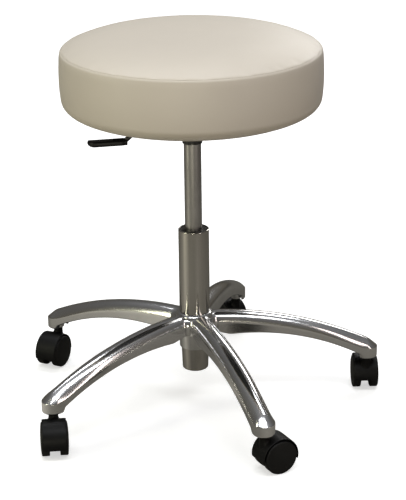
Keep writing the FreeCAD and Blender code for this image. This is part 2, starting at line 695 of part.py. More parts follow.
def seat_dust_cover():
    """The cloth under the board, tucked over the band's hem."""
    top = BOARD_BOTTOM
    hem = SIDE_SPANS[-1][-1][1]
    slim = DUST_COVER_THICKNESS
    step = DUST_COVER_STEP_RADIUS
    cover = turned_polygon([(0, top), (step, top), (BAND_HEM_RADIUS, hem), (DUST_COVER_RADIUS, hem),
                            (DUST_COVER_RADIUS, hem - slim), (BAND_HEM_RADIUS - slim / 2, hem - slim),
                            (step - slim / 2, top - slim - 0.1), (0, top - slim - 0.1)])
    return cover.cut([disc(BOLT_CLEARANCE_RADIUS, 0, 2 * top, x, y) for x, y in bolt_places()])


def seat_staples():
    """Wire staples through the dust cover and the band's hem into the board."""
    thick, deep = STAPLE_WIRE
    crown_top = SIDE_SPANS[-1][-1][1] - DUST_COVER_THICKNESS
    crown = block(centred(deep), centred(STAPLE_WIDTH), (crown_top - thick, crown_top))
    legs = [block(centred(deep), (y, y + thick), (crown_top - thick, STAPLE_LEG_TOP))
            for y in (-STAPLE_WIDTH / 2, STAPLE_WIDTH / 2 - thick)]
    return Part.makeCompound(around(fused([crown] + legs), STAPLE_COUNT, STAPLE_CIRCLE_RADIUS))


# ---- Lever body and valve pin ----------------------------------------------------------------------


def lever_path():
    """The rod's centre line: straight over the valve pin, down the neck and out into the handle."""
    corners = [Vector(LEVER_END, 0, LEVER_HEIGHT), Vector(NECK_TOP_X, 0, LEVER_HEIGHT),
               Vector(NECK_BOTTOM_X, 0, PADDLE_HEIGHT), Vector(LEVER_ROD_OUTER_X, 0, PADDLE_HEIGHT)]
    edges = []
    start = corners[0]
    for before, corner, after in zip(corners, corners[1:], corners[2:]):
        arriving = (corner - before).normalize()
        leaving = (after - corner).normalize()
        half_turn = arriving.getAngle(leaving) / 2
        reach = NECK_BEND_RADIUS * math.tan(half_turn)
        bulge = NECK_BEND_RADIUS / math.cos(half_turn) - NECK_BEND_RADIUS
        inward = (leaving - arriving).normalize()
        arc_start = corner - arriving * reach
        arc_end = corner + leaving * reach
        edges.append(Part.LineSegment(start, arc_start).toShape())
        edges.append(Part.Arc(arc_start, corner + inward * bulge, arc_end).toShape())
        start = arc_end
    edges.append(Part.LineSegment(start, corners[-1]).toShape())
    return Part.Wire(edges)


def lever_rod():
    start = Vector(LEVER_END, 0, LEVER_HEIGHT)
    section = Part.Wire(Part.makeCircle(LEVER_ROD_RADIUS, start, Vector(-1, 0, 0)))
    return lever_path().makePipeShell([section], True, False)


def lever_rocker():
    """The plastic block that carries the rod on the pivot pin."""
    length, width = ROCKER_SIZE
    body = block((PIVOT_X - length / 2, PIVOT_X + length / 2), centred(width), (ROCKER_BOTTOM, ROCKER_TOP))
    rod_hole = Part.makeCylinder(LEVER_ROD_RADIUS, length, Vector(PIVOT_X - length / 2, 0, LEVER_HEIGHT),
                                 Vector(1, 0, 0))
    pin_hole = Part.makeCylinder(PIVOT_RADIUS + RUNNING_GAP, width, Vector(PIVOT_X, -width / 2, PIVOT_HEIGHT), ACROSS)
    return body.cut([rod_hole, pin_hole])


def paddle_nose():
    """What the bevel under the paddle's outer end takes away: a wedge right across it."""
    length, height = PADDLE_NOSE
    bottom = PADDLE_HEIGHT - PADDLE_THICKNESS / 2
    corners = [(PADDLE_OUTER_X - length, bottom + 2 * height), (PADDLE_OUTER_X + length, bottom),
               (PADDLE_OUTER_X + 2 * length, bottom - height), (PADDLE_OUTER_X - length, bottom - height)]
    points = [Vector(x, -PADDLE_WIDTH, z) for x, z in corners]
    return Part.Face(Part.makePolygon(points + points[:1])).extrude(ACROSS * 2 * PADDLE_WIDTH)


def lever_handle():
    """A flat paddle with one big outer corner, moulded over the end of the rod."""
    paddle = block((PADDLE_OUTER_X, PADDLE_INNER_X), centred(PADDLE_WIDTH),
                   (PADDLE_HEIGHT - PADDLE_THICKNESS / 2, PADDLE_HEIGHT + PADDLE_THICKNESS / 2))
    upright = [e for e in paddle.Edges if e.BoundBox.ZLength > PADDLE_THICKNESS / 2]
    is_big = lambda e: e.BoundBox.Center.x < PADDLE_INNER_X - 1 and e.BoundBox.Center.y < 0
    paddle = paddle.makeFillet(PADDLE_BIG_CORNER, [e for e in upright if is_big(e)])
    upright = [e for e in paddle.Edges if e.BoundBox.ZLength > PADDLE_THICKNESS / 2
               and e.BoundBox.Center.y > PADDLE_WIDTH / 2 - 0.1]
    paddle = paddle.makeFillet(PADDLE_SMALL_CORNER, upright)
    flat_edges = [e for e in paddle.Edges if e.BoundBox.ZLength < 1e-6]
    paddle = paddle.makeFillet(PADDLE_EDGE, flat_edges)
    boss = Part.makeCylinder(PADDLE_BOSS_RADIUS, PADDLE_BOSS_INNER_X - PADDLE_BOSS_OUTER_X,
                             Vector(PADDLE_BOSS_OUTER_X, 0, PADDLE_HEIGHT), Vector(1, 0, 0))
    rounded = boss.makeFillet(PADDLE_EDGE, [e for e in boss.Edges if e.BoundBox.XLength < 1e-6])
    handle = paddle.cut(paddle_nose()).fuse(rounded)
    handle.rotate(Vector(PADDLE_INNER_X, 0, PADDLE_HEIGHT), ACROSS, -PADDLE_DROOP)
    return handle.cut(lever_rod())


def valve_pin():
    """The pin that opens the gas valve, bevelled at the top where the lever presses."""
    return turned_polygon([(0, VALVE_PIN_BOTTOM), (VALVE_PIN_RADIUS, VALVE_PIN_BOTTOM),
                           (VALVE_PIN_RADIUS, VALVE_PIN_TOP - VALVE_PIN_BEVEL),
                           (VALVE_PIN_RADIUS - 2 * VALVE_PIN_BEVEL, VALVE_PIN_TOP), (0, VALVE_PIN_TOP)])


# ---- Casters: drawn with the stem on the origin's axis and the axle out along +X --------------------


def axle_centre():
    return Vector(TRAIL, 0, WHEEL_RADIUS)


def across_axle(radius, low, high):
    """A cylinder on the axle's line between two sideways places."""
    return Part.makeCylinder(radius, high - low, axle_centre() + ACROSS * low, ACROSS)


def caster_hood():
    """The hood between and over the two wheels, with the neck that turns on the stem."""
    web = across_axle(HOOD_CLEAR_RADIUS + 1, -WEB_HALF_WIDTH, WEB_HALF_WIDTH)
    web = web.common(block((-50, 100), (-50, 50), (WEB_LOW, 100)))
    boss = across_axle(WEB_BOSS_RADIUS, -WEB_HALF_WIDTH, WEB_HALF_WIDTH)
    strip = Part.Face(Part.makePolygon([axle_centre() + Vector(r, y, 0) for r, y in (
        (HOOD_CLEAR_RADIUS, -HOOD_HALF_WIDTH), (HOOD_RADIUS, -HOOD_HALF_WIDTH),
        (HOOD_RADIUS, HOOD_HALF_WIDTH), (HOOD_CLEAR_RADIUS, HOOD_HALF_WIDTH),
        (HOOD_CLEAR_RADIUS, -HOOD_HALF_WIDTH))]))
    strip.rotate(axle_centre(), -ACROSS, HOOD_REAR_ANGLE)
    fender = strip.revolve(axle_centre(), -ACROSS, HOOD_SWEEP)
    neck = turned_polygon([(0, NECK_FOOT_BOTTOM), (NECK_FOOT_RADIUS, NECK_FOOT_BOTTOM),
                           (NECK_RADIUS, NECK_FOOT_TOP), (NECK_RADIUS, NECK_TOP), (0, NECK_TOP)])
    wheel_space = [across_axle(HOOD_CLEAR_RADIUS, WEB_HALF_WIDTH, 50),
                   across_axle(HOOD_CLEAR_RADIUS, -50, -WEB_HALF_WIDTH)]
    neck = neck.cut(wheel_space)
    hood = fused([web, boss, fender, neck])
    return hood.cut([disc(STEM_RADIUS + RUNNING_GAP, STEM_SEAT_DEPTH, NECK_TOP + 1),
                     across_axle(AXLE_RADIUS, -50, 50)])


def caster_axle():
    return across_axle(AXLE_RADIUS, -AXLE_HALF_LENGTH, AXLE_HALF_LENGTH)


def caster_wheel(side):
    """One wheel of a pair: a domed cup with a blind hub. Side is +1 or -1."""
    bore = AXLE_RADIUS + RUNNING_GAP
    rim = WHEEL_RADIUS - WHEEL_RIM_WALL
    blind = AXLE_HALF_LENGTH + 0.3
    place = lambda s, r: Vector(TRAIL + r, side * s, WHEEL_RADIUS)
    outline = [(WHEEL_OUTER_FACE, 0), (blind, 0), (blind, bore), (WHEEL_INNER_FACE, bore),
               (WHEEL_INNER_FACE, WHEEL_HUB_RADIUS), (WHEEL_TREAD_END, WHEEL_HUB_RADIUS), (WHEEL_TREAD_END, rim),
               (WHEEL_INNER_FACE, rim), (WHEEL_INNER_FACE, WHEEL_RADIUS - WHEEL_EDGE),
               (WHEEL_INNER_FACE + WHEEL_EDGE, WHEEL_RADIUS), (WHEEL_TREAD_END, WHEEL_RADIUS)]
    corners = [place(s, r) for s, r in outline]
    edges = [Part.LineSegment(a, b).toShape() for a, b in zip(corners, corners[1:])]
    shoulder = place(WHEEL_SHOULDER, WHEEL_RADIUS - (WHEEL_SHOULDER - WHEEL_TREAD_END))
    knee = place(WHEEL_TREAD_END + (WHEEL_SHOULDER - WHEEL_TREAD_END) * 0.707,
                 WHEEL_RADIUS - (WHEEL_SHOULDER - WHEEL_TREAD_END) * 0.293)
    edges.append(Part.Arc(corners[-1], knee, shoulder).toShape())
    cap_edge = place(WHEEL_OUTER_FACE, WHEEL_CAP_RADIUS)
    dome = (shoulder + cap_edge) / 2 + Vector(0, side * WHEEL_DOME_BULGE, 0)
    edges.append(Part.Arc(shoulder, dome, cap_edge).toShape())
    edges.append(Part.LineSegment(cap_edge, corners[0]).toShape())
    return Part.Face(Part.Wire(edges)).revolve(axle_centre(), ACROSS, 360)


# ---- The whole stool -------------------------------------------------------------------------------


def all_nodes():
    nodes = {
        "star_base": star_base(),
        "column_tube": column_tube(),
        "guide_bush": guide_bush(),
        "bearing_lower_race": bearing_lower_race(),
        "bearing_balls": bearing_balls(),
        "bearing_cage": bearing_cage(),
        "stem_grip_rings": stem_grip_rings(),
        "piston_rod": piston_rod(),
        "rod_clip": rod_clip(),
        "bearing_upper_race": bearing_upper_race(),
        "rubber_buffer": rubber_buffer(),
        "piston": piston(),
        "piston_seal": piston_seal_ring(),
        "pressure_tube": pressure_tube(),
        "rod_guide": rod_guide(),
        "rod_seal": rod_seal(),
        "valve_block": valve_block(),
        "taper_socket": taper_socket(),
        "lever_housing": lever_housing(),
        "lever_pivot_pin": lever_pivot_pin(),
        "seat_plate": seat_plate(),
        "seat_bolts": seat_bolts(),
        "seat_tee_nuts": seat_tee_nuts(),
        "seat_board": seat_board(),
        "seat_foam": seat_foam(),
        "seat_top_panel": seat_top_panel(),
        "seat_side_band": seat_side_band(),
        "seat_dust_cover": seat_dust_cover(),
        "seat_staples": seat_staples(),
        "lever_rod": lever_rod(),
        "lever_rocker": lever_rocker(),
        "lever_handle": lever_handle(),
        "valve_pin": valve_pin(),
    }
    caster_parts = {
        "hood": caster_hood(),
        "axle": caster_axle(),
        "wheel_left": caster_wheel(1),
        "wheel_right": caster_wheel(-1),
    }
    for number, trail_angle in enumerate(WHEEL_TRAILS):
        nodes[f"caster_{number + 1}_stem"] = at_stem(caster_stem(), number, 0)
        for name, shape in caster_parts.items():
            nodes[f"caster_{number + 1}_{name}"] = at_stem(shape, number, trail_angle)
    return nodes


os.makedirs("parts", exist_ok=True)
for node, shape in all_nodes().items():
    volume = sum(solid.Volume for solid in shape.Solids)
    print(f"{node}: {len(shape.Solids)} solid(s), valid {shape.isValid()}, {volume / 1000:.2f} cm3")
    shape.exportStep(f"parts/{node}.step")
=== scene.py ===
# %% [markdown]
# # A dentist's stool
# The stool is a round padded seat on a gas lift, over a cast five-arm base on twin-wheel casters.
# The mechanical design is already fixed, so it is loaded first. Everything made below is in metres,
# stands on the floor at z = 0 and has the column on the z axis, with the lever out along -x.

# %% Load the fixed design
import json
import math

import bmesh
import bpy
import numpy as np
from mathutils import Matrix, Vector


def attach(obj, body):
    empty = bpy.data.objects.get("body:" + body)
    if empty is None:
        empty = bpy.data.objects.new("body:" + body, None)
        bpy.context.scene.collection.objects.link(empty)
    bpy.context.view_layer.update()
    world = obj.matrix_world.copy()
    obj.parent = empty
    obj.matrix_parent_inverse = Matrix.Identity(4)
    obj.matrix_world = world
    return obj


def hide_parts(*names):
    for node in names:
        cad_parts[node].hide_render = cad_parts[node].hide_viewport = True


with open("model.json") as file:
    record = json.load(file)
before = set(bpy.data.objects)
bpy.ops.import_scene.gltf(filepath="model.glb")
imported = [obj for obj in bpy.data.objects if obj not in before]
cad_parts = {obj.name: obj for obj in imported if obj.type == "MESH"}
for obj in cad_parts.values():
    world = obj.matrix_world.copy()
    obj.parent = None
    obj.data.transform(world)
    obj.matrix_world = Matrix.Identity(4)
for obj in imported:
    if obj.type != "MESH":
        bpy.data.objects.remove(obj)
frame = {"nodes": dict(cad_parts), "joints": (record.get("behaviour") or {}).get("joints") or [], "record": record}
nodes = frame["nodes"]
joints = {joint["name"]: joint for joint in frame["joints"]}
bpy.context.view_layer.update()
MM = 0.001

# %% [markdown]
# ## The camera
# A product picture of a stool is taken from a little above the seat and from well back, so the seat
# reads as a flat ellipse and the arms spread below it. A long lens keeps the column upright.

# %% Camera
CAMERA_PLACE = (0.0148, -2.479, 1.197)
CAMERA_TILT = 69.34
CAMERA_ROLL = -0.69
CAMERA_LENS = 117.37


def add_camera():
    """A long-lens camera: tilted about x from looking straight down, then rolled about its own axis."""
    data = bpy.data.cameras.new("stool_camera")
    data.lens = CAMERA_LENS
    camera = bpy.data.objects.new("stool_camera", data)
    bpy.context.scene.collection.objects.link(camera)
    tilt = Matrix.Rotation(math.radians(CAMERA_TILT), 4, "X")
    roll = Matrix.Rotation(math.radians(CAMERA_ROLL), 4, "Z")
    camera.matrix_world = Matrix.Translation(CAMERA_PLACE) @ tilt @ roll
    bpy.context.scene.camera = camera
    return camera


add_camera()
print(f"camera {-CAMERA_PLACE[1]:.2f} m in front and {CAMERA_PLACE[2]:.2f} m up")

# %% [markdown]
# ## Surfaces from arrays
# Every new piece is a grid of points: rows along one parameter, columns along the other. A grid
# that goes right round joins its last column to its first. Several grids make one piece, and their
# shared edges are merged, so that seams and poles close and the faces can all be turned outwards.

# %% Grid and mesh helpers
MERGE_DISTANCE = 0.00001
SHARP_ANGLE = 38.0


def grid_faces(rows, columns, closed):
    """Quads between neighbouring rows and columns, counted row by row."""
    row = np.arange(rows - 1)[:, None]
    column = np.arange(columns if closed else columns - 1)[None, :]
    after = (column + 1) % columns
    corners = (row * columns + column, row * columns + after,
               (row + 1) * columns + after, (row + 1) * columns + column)
    return np.stack([np.broadcast_to(c, (rows - 1, column.size)) for c in corners], -1).reshape(-1, 4)


def joined(grids):
    """One list of points and one of faces from grids, each (rows x columns x 3 points, closed)."""
    points, faces, used = [], [], 0
    for grid, closed in grids:
        rows, columns, _ = grid.shape
        points.append(grid.reshape(-1, 3))
        faces.append(grid_faces(rows, columns, closed) + used)
        used += rows * columns
    return np.concatenate(points), np.concatenate(faces)


def mesh_object(name, grids):
    """An object at the origin, from grids in millimetres."""
    points, faces = joined(grids)
    mesh = bpy.data.meshes.new(name)
    mesh.from_pydata(points * MM, [], faces.tolist())
    piece = bpy.data.objects.new(name, mesh)
    bpy.context.scene.collection.objects.link(piece)
    return piece


def close_up(piece):
    """Merges doubles, drops faces that have shrunk to nothing and turns the rest outwards."""
    bm = bmesh.new()
    bm.from_mesh(piece.data)
    bmesh.ops.remove_doubles(bm, verts=bm.verts, dist=MERGE_DISTANCE)
    bmesh.ops.dissolve_degenerate(bm, edges=bm.edges, dist=MERGE_DISTANCE / 10)
    bmesh.ops.recalc_face_normals(bm, faces=bm.faces)
    bm.to_mesh(piece.data)
    bm.free()
    shade(piece)


def shade(piece):
    """Smooth shading, with hard edges kept where faces meet at a steep angle."""
    piece.data.shade_smooth()
    piece.data.set_sharp_from_angle(angle=math.radians(SHARP_ANGLE))


def fit(piece, body, slot, *replaced):
    """Puts a finished piece on its body, in its material, in place of the nodes it stands for."""
    piece.data.materials.clear()
    piece.data.materials.append(FINISHES[slot])
    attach(piece, body)
    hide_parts(*replaced)
    print(f"{piece.name}: {len(piece.data.polygons)} faces on {body}")


def full_turn(count):
    """Evenly spaced angles all the way round."""
    return np.linspace(0, 2 * math.pi, count, endpoint=False)


def squared_off(wave, power):
    """A sine or cosine with its sign kept and its size raised to a power below one: fuller corners."""
    return np.sign(wave) * np.abs(wave) ** power


def lathe(profile, turns):
    """A grid swept about the z axis: each (radius, height) of the profile becomes one row."""
    radius, height = np.asarray(profile, float).T
    angle = full_turn(turns)
    return np.stack([np.outer(radius, np.cos(angle)), np.outer(radius, np.sin(angle)),
                     np.repeat(height[:, None], turns, 1)], -1)


def rounded(corners, radii, steps=5):
    """A run of points through corners, where each inner corner is cut by a curve that starts and
    ends its radius away along the two straight sides and has the corner as its control point."""
    corners = np.asarray(corners, float)
    share = np.linspace(0, 1, steps)[:, None]
    run = [corners[:1]]
    for before, corner, after, radius in zip(corners, corners[1:], corners[2:], radii):
        start = corner + (before - corner) * min(1, radius / np.linalg.norm(before - corner))
        end = corner + (after - corner) * min(1, radius / np.linalg.norm(after - corner))
        run.append((1 - share) ** 2 * start + 2 * share * (1 - share) * corner + share ** 2 * end)
    run.append(corners[-1:])
    return np.concatenate(run)


print("helpers ready")

# %% [markdown]
# ## Shared surface effects
# Real surfaces are never perfectly even. Three effects cover every finish here: a fine grain, which is
# drawn out along turned metal, the small pebbles of coated cloth, and a plain weave. Each is a node
# group with soft patches that hands back a colour, a roughness and a normal, so each material only has
# to say how strong they are.

# %% Node group helpers
COLOUR, NUMBER, DIRECTION = "NodeSocketColor", "NodeSocketFloat", "NodeSocketVector"
TONE_BAND = (0.35, 0.65)


def new_group(name, inputs):
    """A shader group with the given inputs (name: (kind, value)) and Color, Roughness and Normal out."""
    group = bpy.data.node_groups.new(name, "ShaderNodeTree")
    for label, (kind, value) in inputs.items():
        group.interface.new_socket(label, in_out="INPUT", socket_type=kind).default_value = value
    for label, kind in (("Color", COLOUR), ("Roughness", NUMBER), ("Normal", DIRECTION)):
        group.interface.new_socket(label, in_out="OUTPUT", socket_type=kind)
    return group, group.nodes.new("NodeGroupInput").outputs, group.nodes.new("NodeGroupOutput").inputs


def stretched_place(group, stretch):
    """The place on the piece, with each axis scaled by the Stretch input."""
    place = group.nodes.new("ShaderNodeTexCoord").outputs["Object"]
    scale = group.nodes.new("ShaderNodeVectorMath")
    scale.operation = "MULTIPLY"
    group.links.new(place, scale.inputs[0])
    group.links.new(stretch, scale.inputs[1])
    return scale.outputs[0]


def noise(group, place, scale, detail):
    """A noise mask about a half."""
    texture = group.nodes.new("ShaderNodeTexNoise")
    texture.inputs["Detail"].default_value = detail
    group.links.new(place, texture.inputs["Vector"])
    group.links.new(scale, texture.inputs["Scale"])
    return texture.outputs["Fac"]


def spread_roughness(group, mask, middle, spread):
    """Roughness that moves either side of its middle value as the mask moves either side of a half."""
    offset = group.nodes.new("ShaderNodeMath")
    offset.operation = "SUBTRACT"
    offset.inputs[1].default_value = 0.5
    group.links.new(mask, offset.inputs[0])
    total = group.nodes.new("ShaderNodeMath")
    total.operation = "MULTIPLY_ADD"
    group.links.new(offset.outputs[0], total.inputs[0])
    group.links.new(spread, total.inputs[1])
    group.links.new(middle, total.inputs[2])
    return total.outputs[0]


def two_tone(group, mask, first, second):
    """The first colour where the mask is low and the second where it is high."""
    contrast = group.nodes.new("ShaderNodeMapRange")
    contrast.inputs["From Min"].default_value, contrast.inputs["From Max"].default_value = TONE_BAND
    group.links.new(mask, contrast.inputs["Value"])
    mix = group.nodes.new("ShaderNodeMix")
    mix.data_type = "RGBA"
    group.links.new(contrast.outputs["Result"], mix.inputs["Factor"])
    group.links.new(first, mix.inputs["A"])
    group.links.new(second, mix.inputs["B"])
    return mix.outputs["Result"]


def bumped(group, height, depth):
    """A normal from a height mask that stands for a depth in metres."""
    bump = group.nodes.new("ShaderNodeBump")
    bump.inputs["Strength"].default_value = 1.0
    group.links.new(height, bump.inputs["Height"])
    group.links.new(depth, bump.inputs["Distance"])
    return bump.outputs["Normal"]


print("group helpers ready")

# %% The three effects
GROUP_INPUTS = {
    "Color": (COLOUR, (0.5, 0.5, 0.5, 1)),
    "Second Color": (COLOUR, (0.5, 0.5, 0.5, 1)),
    "Roughness": (NUMBER, 0.4),
    "Roughness Spread": (NUMBER, 0.2),
    "Grain Scale": (NUMBER, 900.0),
    "Patch Scale": (NUMBER, 20.0),
    "Depth": (NUMBER, 0.0001),
    "Stretch": (DIRECTION, (1, 1, 1)),
}


GRAIN_DETAIL, PATCH_DETAIL, WEAVE_WOBBLE = 3.0, 4.0, 0.6


def make_effect(name, relief):
    """A group with soft patches of colour. Its relief gives two masks: the height, and the one that the
    roughness follows."""
    group, given, out = new_group(name, GROUP_INPUTS)
    place = stretched_place(group, given["Stretch"])
    patches = noise(group, place, given["Patch Scale"], PATCH_DETAIL)
    height, wear = relief(group, place, given["Grain Scale"], patches)
    roughness = spread_roughness(group, wear, given["Roughness"], given["Roughness Spread"])
    group.links.new(two_tone(group, patches, given["Color"], given["Second Color"]), out["Color"])
    group.links.new(roughness, out["Roughness"])
    group.links.new(bumped(group, height, given["Depth"]), out["Normal"])
    return group


def grain_relief(group, place, scale, patches):
    """Fine noise, for moulded, painted and metal parts."""
    return noise(group, place, scale, GRAIN_DETAIL), patches


def pebble_relief(group, place, scale, patches):
    """Rounded cells, for the pebbled face of coated cloth."""
    cells = group.nodes.new("ShaderNodeTexVoronoi")
    cells.feature = "SMOOTH_F1"
    group.links.new(place, cells.inputs["Vector"])
    group.links.new(scale, cells.inputs["Scale"])
    return cells.outputs["Distance"], patches


def weave_relief(group, place, scale, _):
    """Two sets of fine parallel ribs at right angles, for plain woven cloth."""
    over = group.nodes.new("ShaderNodeMath")
    over.operation = "MAXIMUM"
    for socket, direction in enumerate("XY"):
        wave = group.nodes.new("ShaderNodeTexWave")
        wave.bands_direction = direction
        wave.inputs["Distortion"].default_value = WEAVE_WOBBLE
        group.links.new(place, wave.inputs["Vector"])
        group.links.new(scale, wave.inputs["Scale"])
        group.links.new(wave.outputs["Fac"], over.inputs[socket])
    return over.outputs[0], over.outputs[0]


GRAIN = make_effect("surface_grain", grain_relief)
PEBBLES = make_effect("coated_cloth_pebbles", pebble_relief)
WEAVE = make_effect("plain_weave", weave_relief)
print("effects:", GRAIN.name, PEBBLES.name, WEAVE.name)

# %% [markdown]
# ## Finishes
# A finish is one Principled shader with an effect in front of it. The colours are linear values.
# Polished aluminium and chrome are metals whose look is nearly all reflection, so they get a low
# roughness and only faint waviness. The plastics are near black with a soft shine.

# %% One finish per material slot
def shades(red, green, blue, second):
    """A colour and a second, darker or lighter shade of it."""
    return (red, green, blue, 1), (red * second, green * second, blue * second, 1)


def make_finish(name, effect, tones, roughness, spread, grain, patch, depth, stretch, fixed):
    """A Principled material with an effect feeding it, and its other sockets set to fixed values."""
    material = bpy.data.materials.new(name)
    material.use_nodes = True
    tree = material.node_tree
    shader = tree.nodes["Principled BSDF"]
    for socket, value in fixed.items():
        shader.inputs[socket].default_value = value
    surface = tree.nodes.new("ShaderNodeGroup")
    surface.node_tree = effect
    colour, second_colour = shades(*tones)
    settings = {"Color": colour, "Second Color": second_colour, "Roughness": roughness,
                "Roughness Spread": spread, "Grain Scale": grain, "Patch Scale": patch,
                "Depth": depth, "Stretch": stretch}
    for socket, value in settings.items():
        surface.inputs[socket].default_value = value
    tree.links.new(surface.outputs["Color"], shader.inputs["Base Color"])
    tree.links.new(surface.outputs["Roughness"], shader.inputs["Roughness"])
    tree.links.new(surface.outputs["Normal"], shader.inputs["Normal"])
    return material


SPECULAR = "Specular IOR Level"
METAL, PLAIN = {"Metallic": 1.0}, {}
EVEN, TURNED, VENEER = (1, 1, 1), (1, 1, 0.02), (1, 12, 1)
# Effect, colour and second shade, roughness and its spread, grain, patches, depth in metres, stretch, rest
FINISH_TABLE = {
    "polished_aluminium": (GRAIN, (0.80, 0.80, 0.81, 0.93), 0.17, 0.10, 30, 22, 0.000015, EVEN, METAL),
    "chrome_column": (GRAIN, (0.60, 0.58, 0.55, 0.9), 0.11, 0.10, 260, 14, 0.00002, TURNED, METAL),
    "piston_metal": (GRAIN, (0.55, 0.55, 0.54, 0.88), 0.22, 0.12, 700, 30, 0.00002, TURNED, METAL),
    "satin_steel": (GRAIN, (0.52, 0.51, 0.50, 0.85), 0.32, 0.15, 900, 40, 0.00003, EVEN, METAL),
    "bright_steel": (GRAIN, (0.66, 0.65, 0.64, 0.85), 0.2, 0.12, 900, 60, 0.00002, EVEN, METAL),
    "black_steel": (GRAIN, (0.018, 0.018, 0.018, 1.5), 0.42, 0.2, 700, 30, 0.0001, EVEN, PLAIN),
    "black_rod": (GRAIN, (0.012, 0.012, 0.012, 1.5), 0.34, 0.15, 900, 40, 0.00004, EVEN, PLAIN),
    "bush_plastic": (GRAIN, (0.02, 0.02, 0.02, 1.4), 0.45, 0.15, 1100, 40, 0.00005, EVEN, PLAIN),
    "handle_plastic": (GRAIN, (0.0045, 0.0045, 0.005, 1.6), 0.45, 0.15, 1500, 50, 0.00006, EVEN,
                       {SPECULAR: 0.3}),
    "hood_plastic": (GRAIN, (0.0025, 0.0025, 0.0028, 1.6), 0.48, 0.15, 1200, 45, 0.00006, EVEN,
                     {SPECULAR: 0.18}),
    "wheel_plastic": (GRAIN, (0.0035, 0.0035, 0.0035, 1.8), 0.5, 0.2, 1000, 50, 0.00006, EVEN,
                      {SPECULAR: 0.28}),
    "nylon": (GRAIN, (0.62, 0.60, 0.55, 0.85), 0.45, 0.15, 900, 60, 0.00004, EVEN, PLAIN),
    "rubber": (GRAIN, (0.02, 0.02, 0.02, 1.5), 0.75, 0.15, 800, 50, 0.0001, EVEN, PLAIN),
    "brass": (GRAIN, (0.62, 0.43, 0.16, 0.85), 0.28, 0.15, 900, 60, 0.00003, EVEN, METAL),
    "plywood": (GRAIN, (0.50, 0.34, 0.19, 0.75), 0.65, 0.15, 60, 25, 0.0003, VENEER, PLAIN),
    "foam": (PEBBLES, (0.62, 0.55, 0.36, 0.85), 0.95, 0.05, 500, 20, 0.0006, EVEN, PLAIN),
    "vinyl": (PEBBLES, (0.60, 0.545, 0.47, 0.975), 0.46, 0.10, 650, 9, 0.00011, EVEN,
              {"Sheen Weight": 0.12, "Sheen Roughness": 0.5, SPECULAR: 0.4}),
    "dust_cloth": (WEAVE, (0.022, 0.022, 0.022, 1.4), 0.92, 0.08, 260, 25, 0.0003, EVEN, PLAIN),
}
FINISHES = {name: make_finish(name, *settings) for name, settings in FINISH_TABLE.items()}
print(len(FINISHES), "finishes")

# %% Give every node of the design its finish
for part in frame["record"]["subparts"]:
    node = nodes[part["node"]]
    if not node.material_slots:
        node.data.materials.append(None)
    for slot in node.material_slots:
        slot.material = FINISHES[part["material_slot"]]

# %% [markdown]
# ## The base casting
# The real base is one aluminium casting: five arms that fall in an arc from the hub to the casters,
# hollow below, rounded on top and polished. A box model with a bevel would pinch where arms meet.
# Instead the casting's section is carried round its outline. For each place on the outline the section
# starts in the middle of the arm, comes out over the top, turns down the side, round the lower edge,
# up the inner wall and back under the roof.

# %% Outline of half an arm, from the valley between two arms to the tip
ARM_COUNT = 5
FIRST_ARM_ANGLE = math.radians(3.15)
ARM_ANGLES = [FIRST_ARM_ANGLE + 2 * math.pi * k / ARM_COUNT for k in range(ARM_COUNT)]
HALF_PITCH = math.pi / ARM_COUNT
ARM_HALF_WIDTH = 17.5
VALLEY_RADIUS = 10.0
HUB_BORE = 25.0
stem_place = Vector(joints["caster_1_swivel"]["pos_m"][:2]) / MM
STEM_CIRCLE = stem_place.length
VALLEY_Y = ARM_HALF_WIDTH + VALLEY_RADIUS
VALLEY_X = VALLEY_Y / math.tan(HALF_PITCH)
HUB_STATIONS, ROOT_STATIONS, TIP_STATIONS = 9, 7, 17
ARM_STATIONS, STEP_STATIONS, STEP_START = 52, 26, 258.0


def half_outline():
    """Places on the outline, the inward direction at each, and the distance in to the arm's middle line
    or to the hub's bore, whichever comes first. The valley is an arc about a point outside the arm,
    the side is straight and the tip is an arc about the stem's axis."""
    to_hub = math.pi / 2 - HALF_PITCH
    to_middle = math.atan((VALLEY_X - HUB_BORE) / VALLEY_Y)
    turn = np.concatenate([np.linspace(to_hub, to_middle, HUB_STATIONS),
                           np.linspace(to_middle, 0, ROOT_STATIONS)[1:]])
    valley_in = np.stack([-np.sin(turn), -np.cos(turn)], 1)
    valley = np.array([VALLEY_X, VALLEY_Y]) + VALLEY_RADIUS * valley_in
    along = valley_in @ np.array([VALLEY_X, VALLEY_Y])
    inside = np.maximum(along ** 2 - VALLEY_X ** 2 - VALLEY_Y ** 2 + HUB_BORE ** 2, 0)
    bore_reach = np.where(turn >= to_middle - 1e-9, -along - np.sqrt(inside), np.inf)
    valley_reach = np.minimum(bore_reach, VALLEY_Y / np.cos(turn)) - VALLEY_RADIUS
    x = np.concatenate([np.linspace(VALLEY_X, STEP_START, ARM_STATIONS),
                        np.linspace(STEP_START, STEM_CIRCLE, STEP_STATIONS)[1:]])[1:]
    side = np.stack([x, np.full_like(x, ARM_HALF_WIDTH)], 1)
    side_in = np.stack([np.zeros_like(x), -np.ones_like(x)], 1)
    turn = np.linspace(math.pi / 2, 0, TIP_STATIONS)[1:]
    tip_in = -np.stack([np.cos(turn), np.sin(turn)], 1)
    tip = np.array([STEM_CIRCLE, 0]) - ARM_HALF_WIDTH * tip_in
    reach = np.concatenate([valley_reach, np.full(len(side) + len(tip), ARM_HALF_WIDTH)])
    return np.concatenate([valley, side, tip]), np.concatenate([valley_in, side_in, tip_in]), reach


outline, inward, reach = half_outline()
print(f"{len(outline)} stations, stem circle {STEM_CIRCLE:.1f} mm")

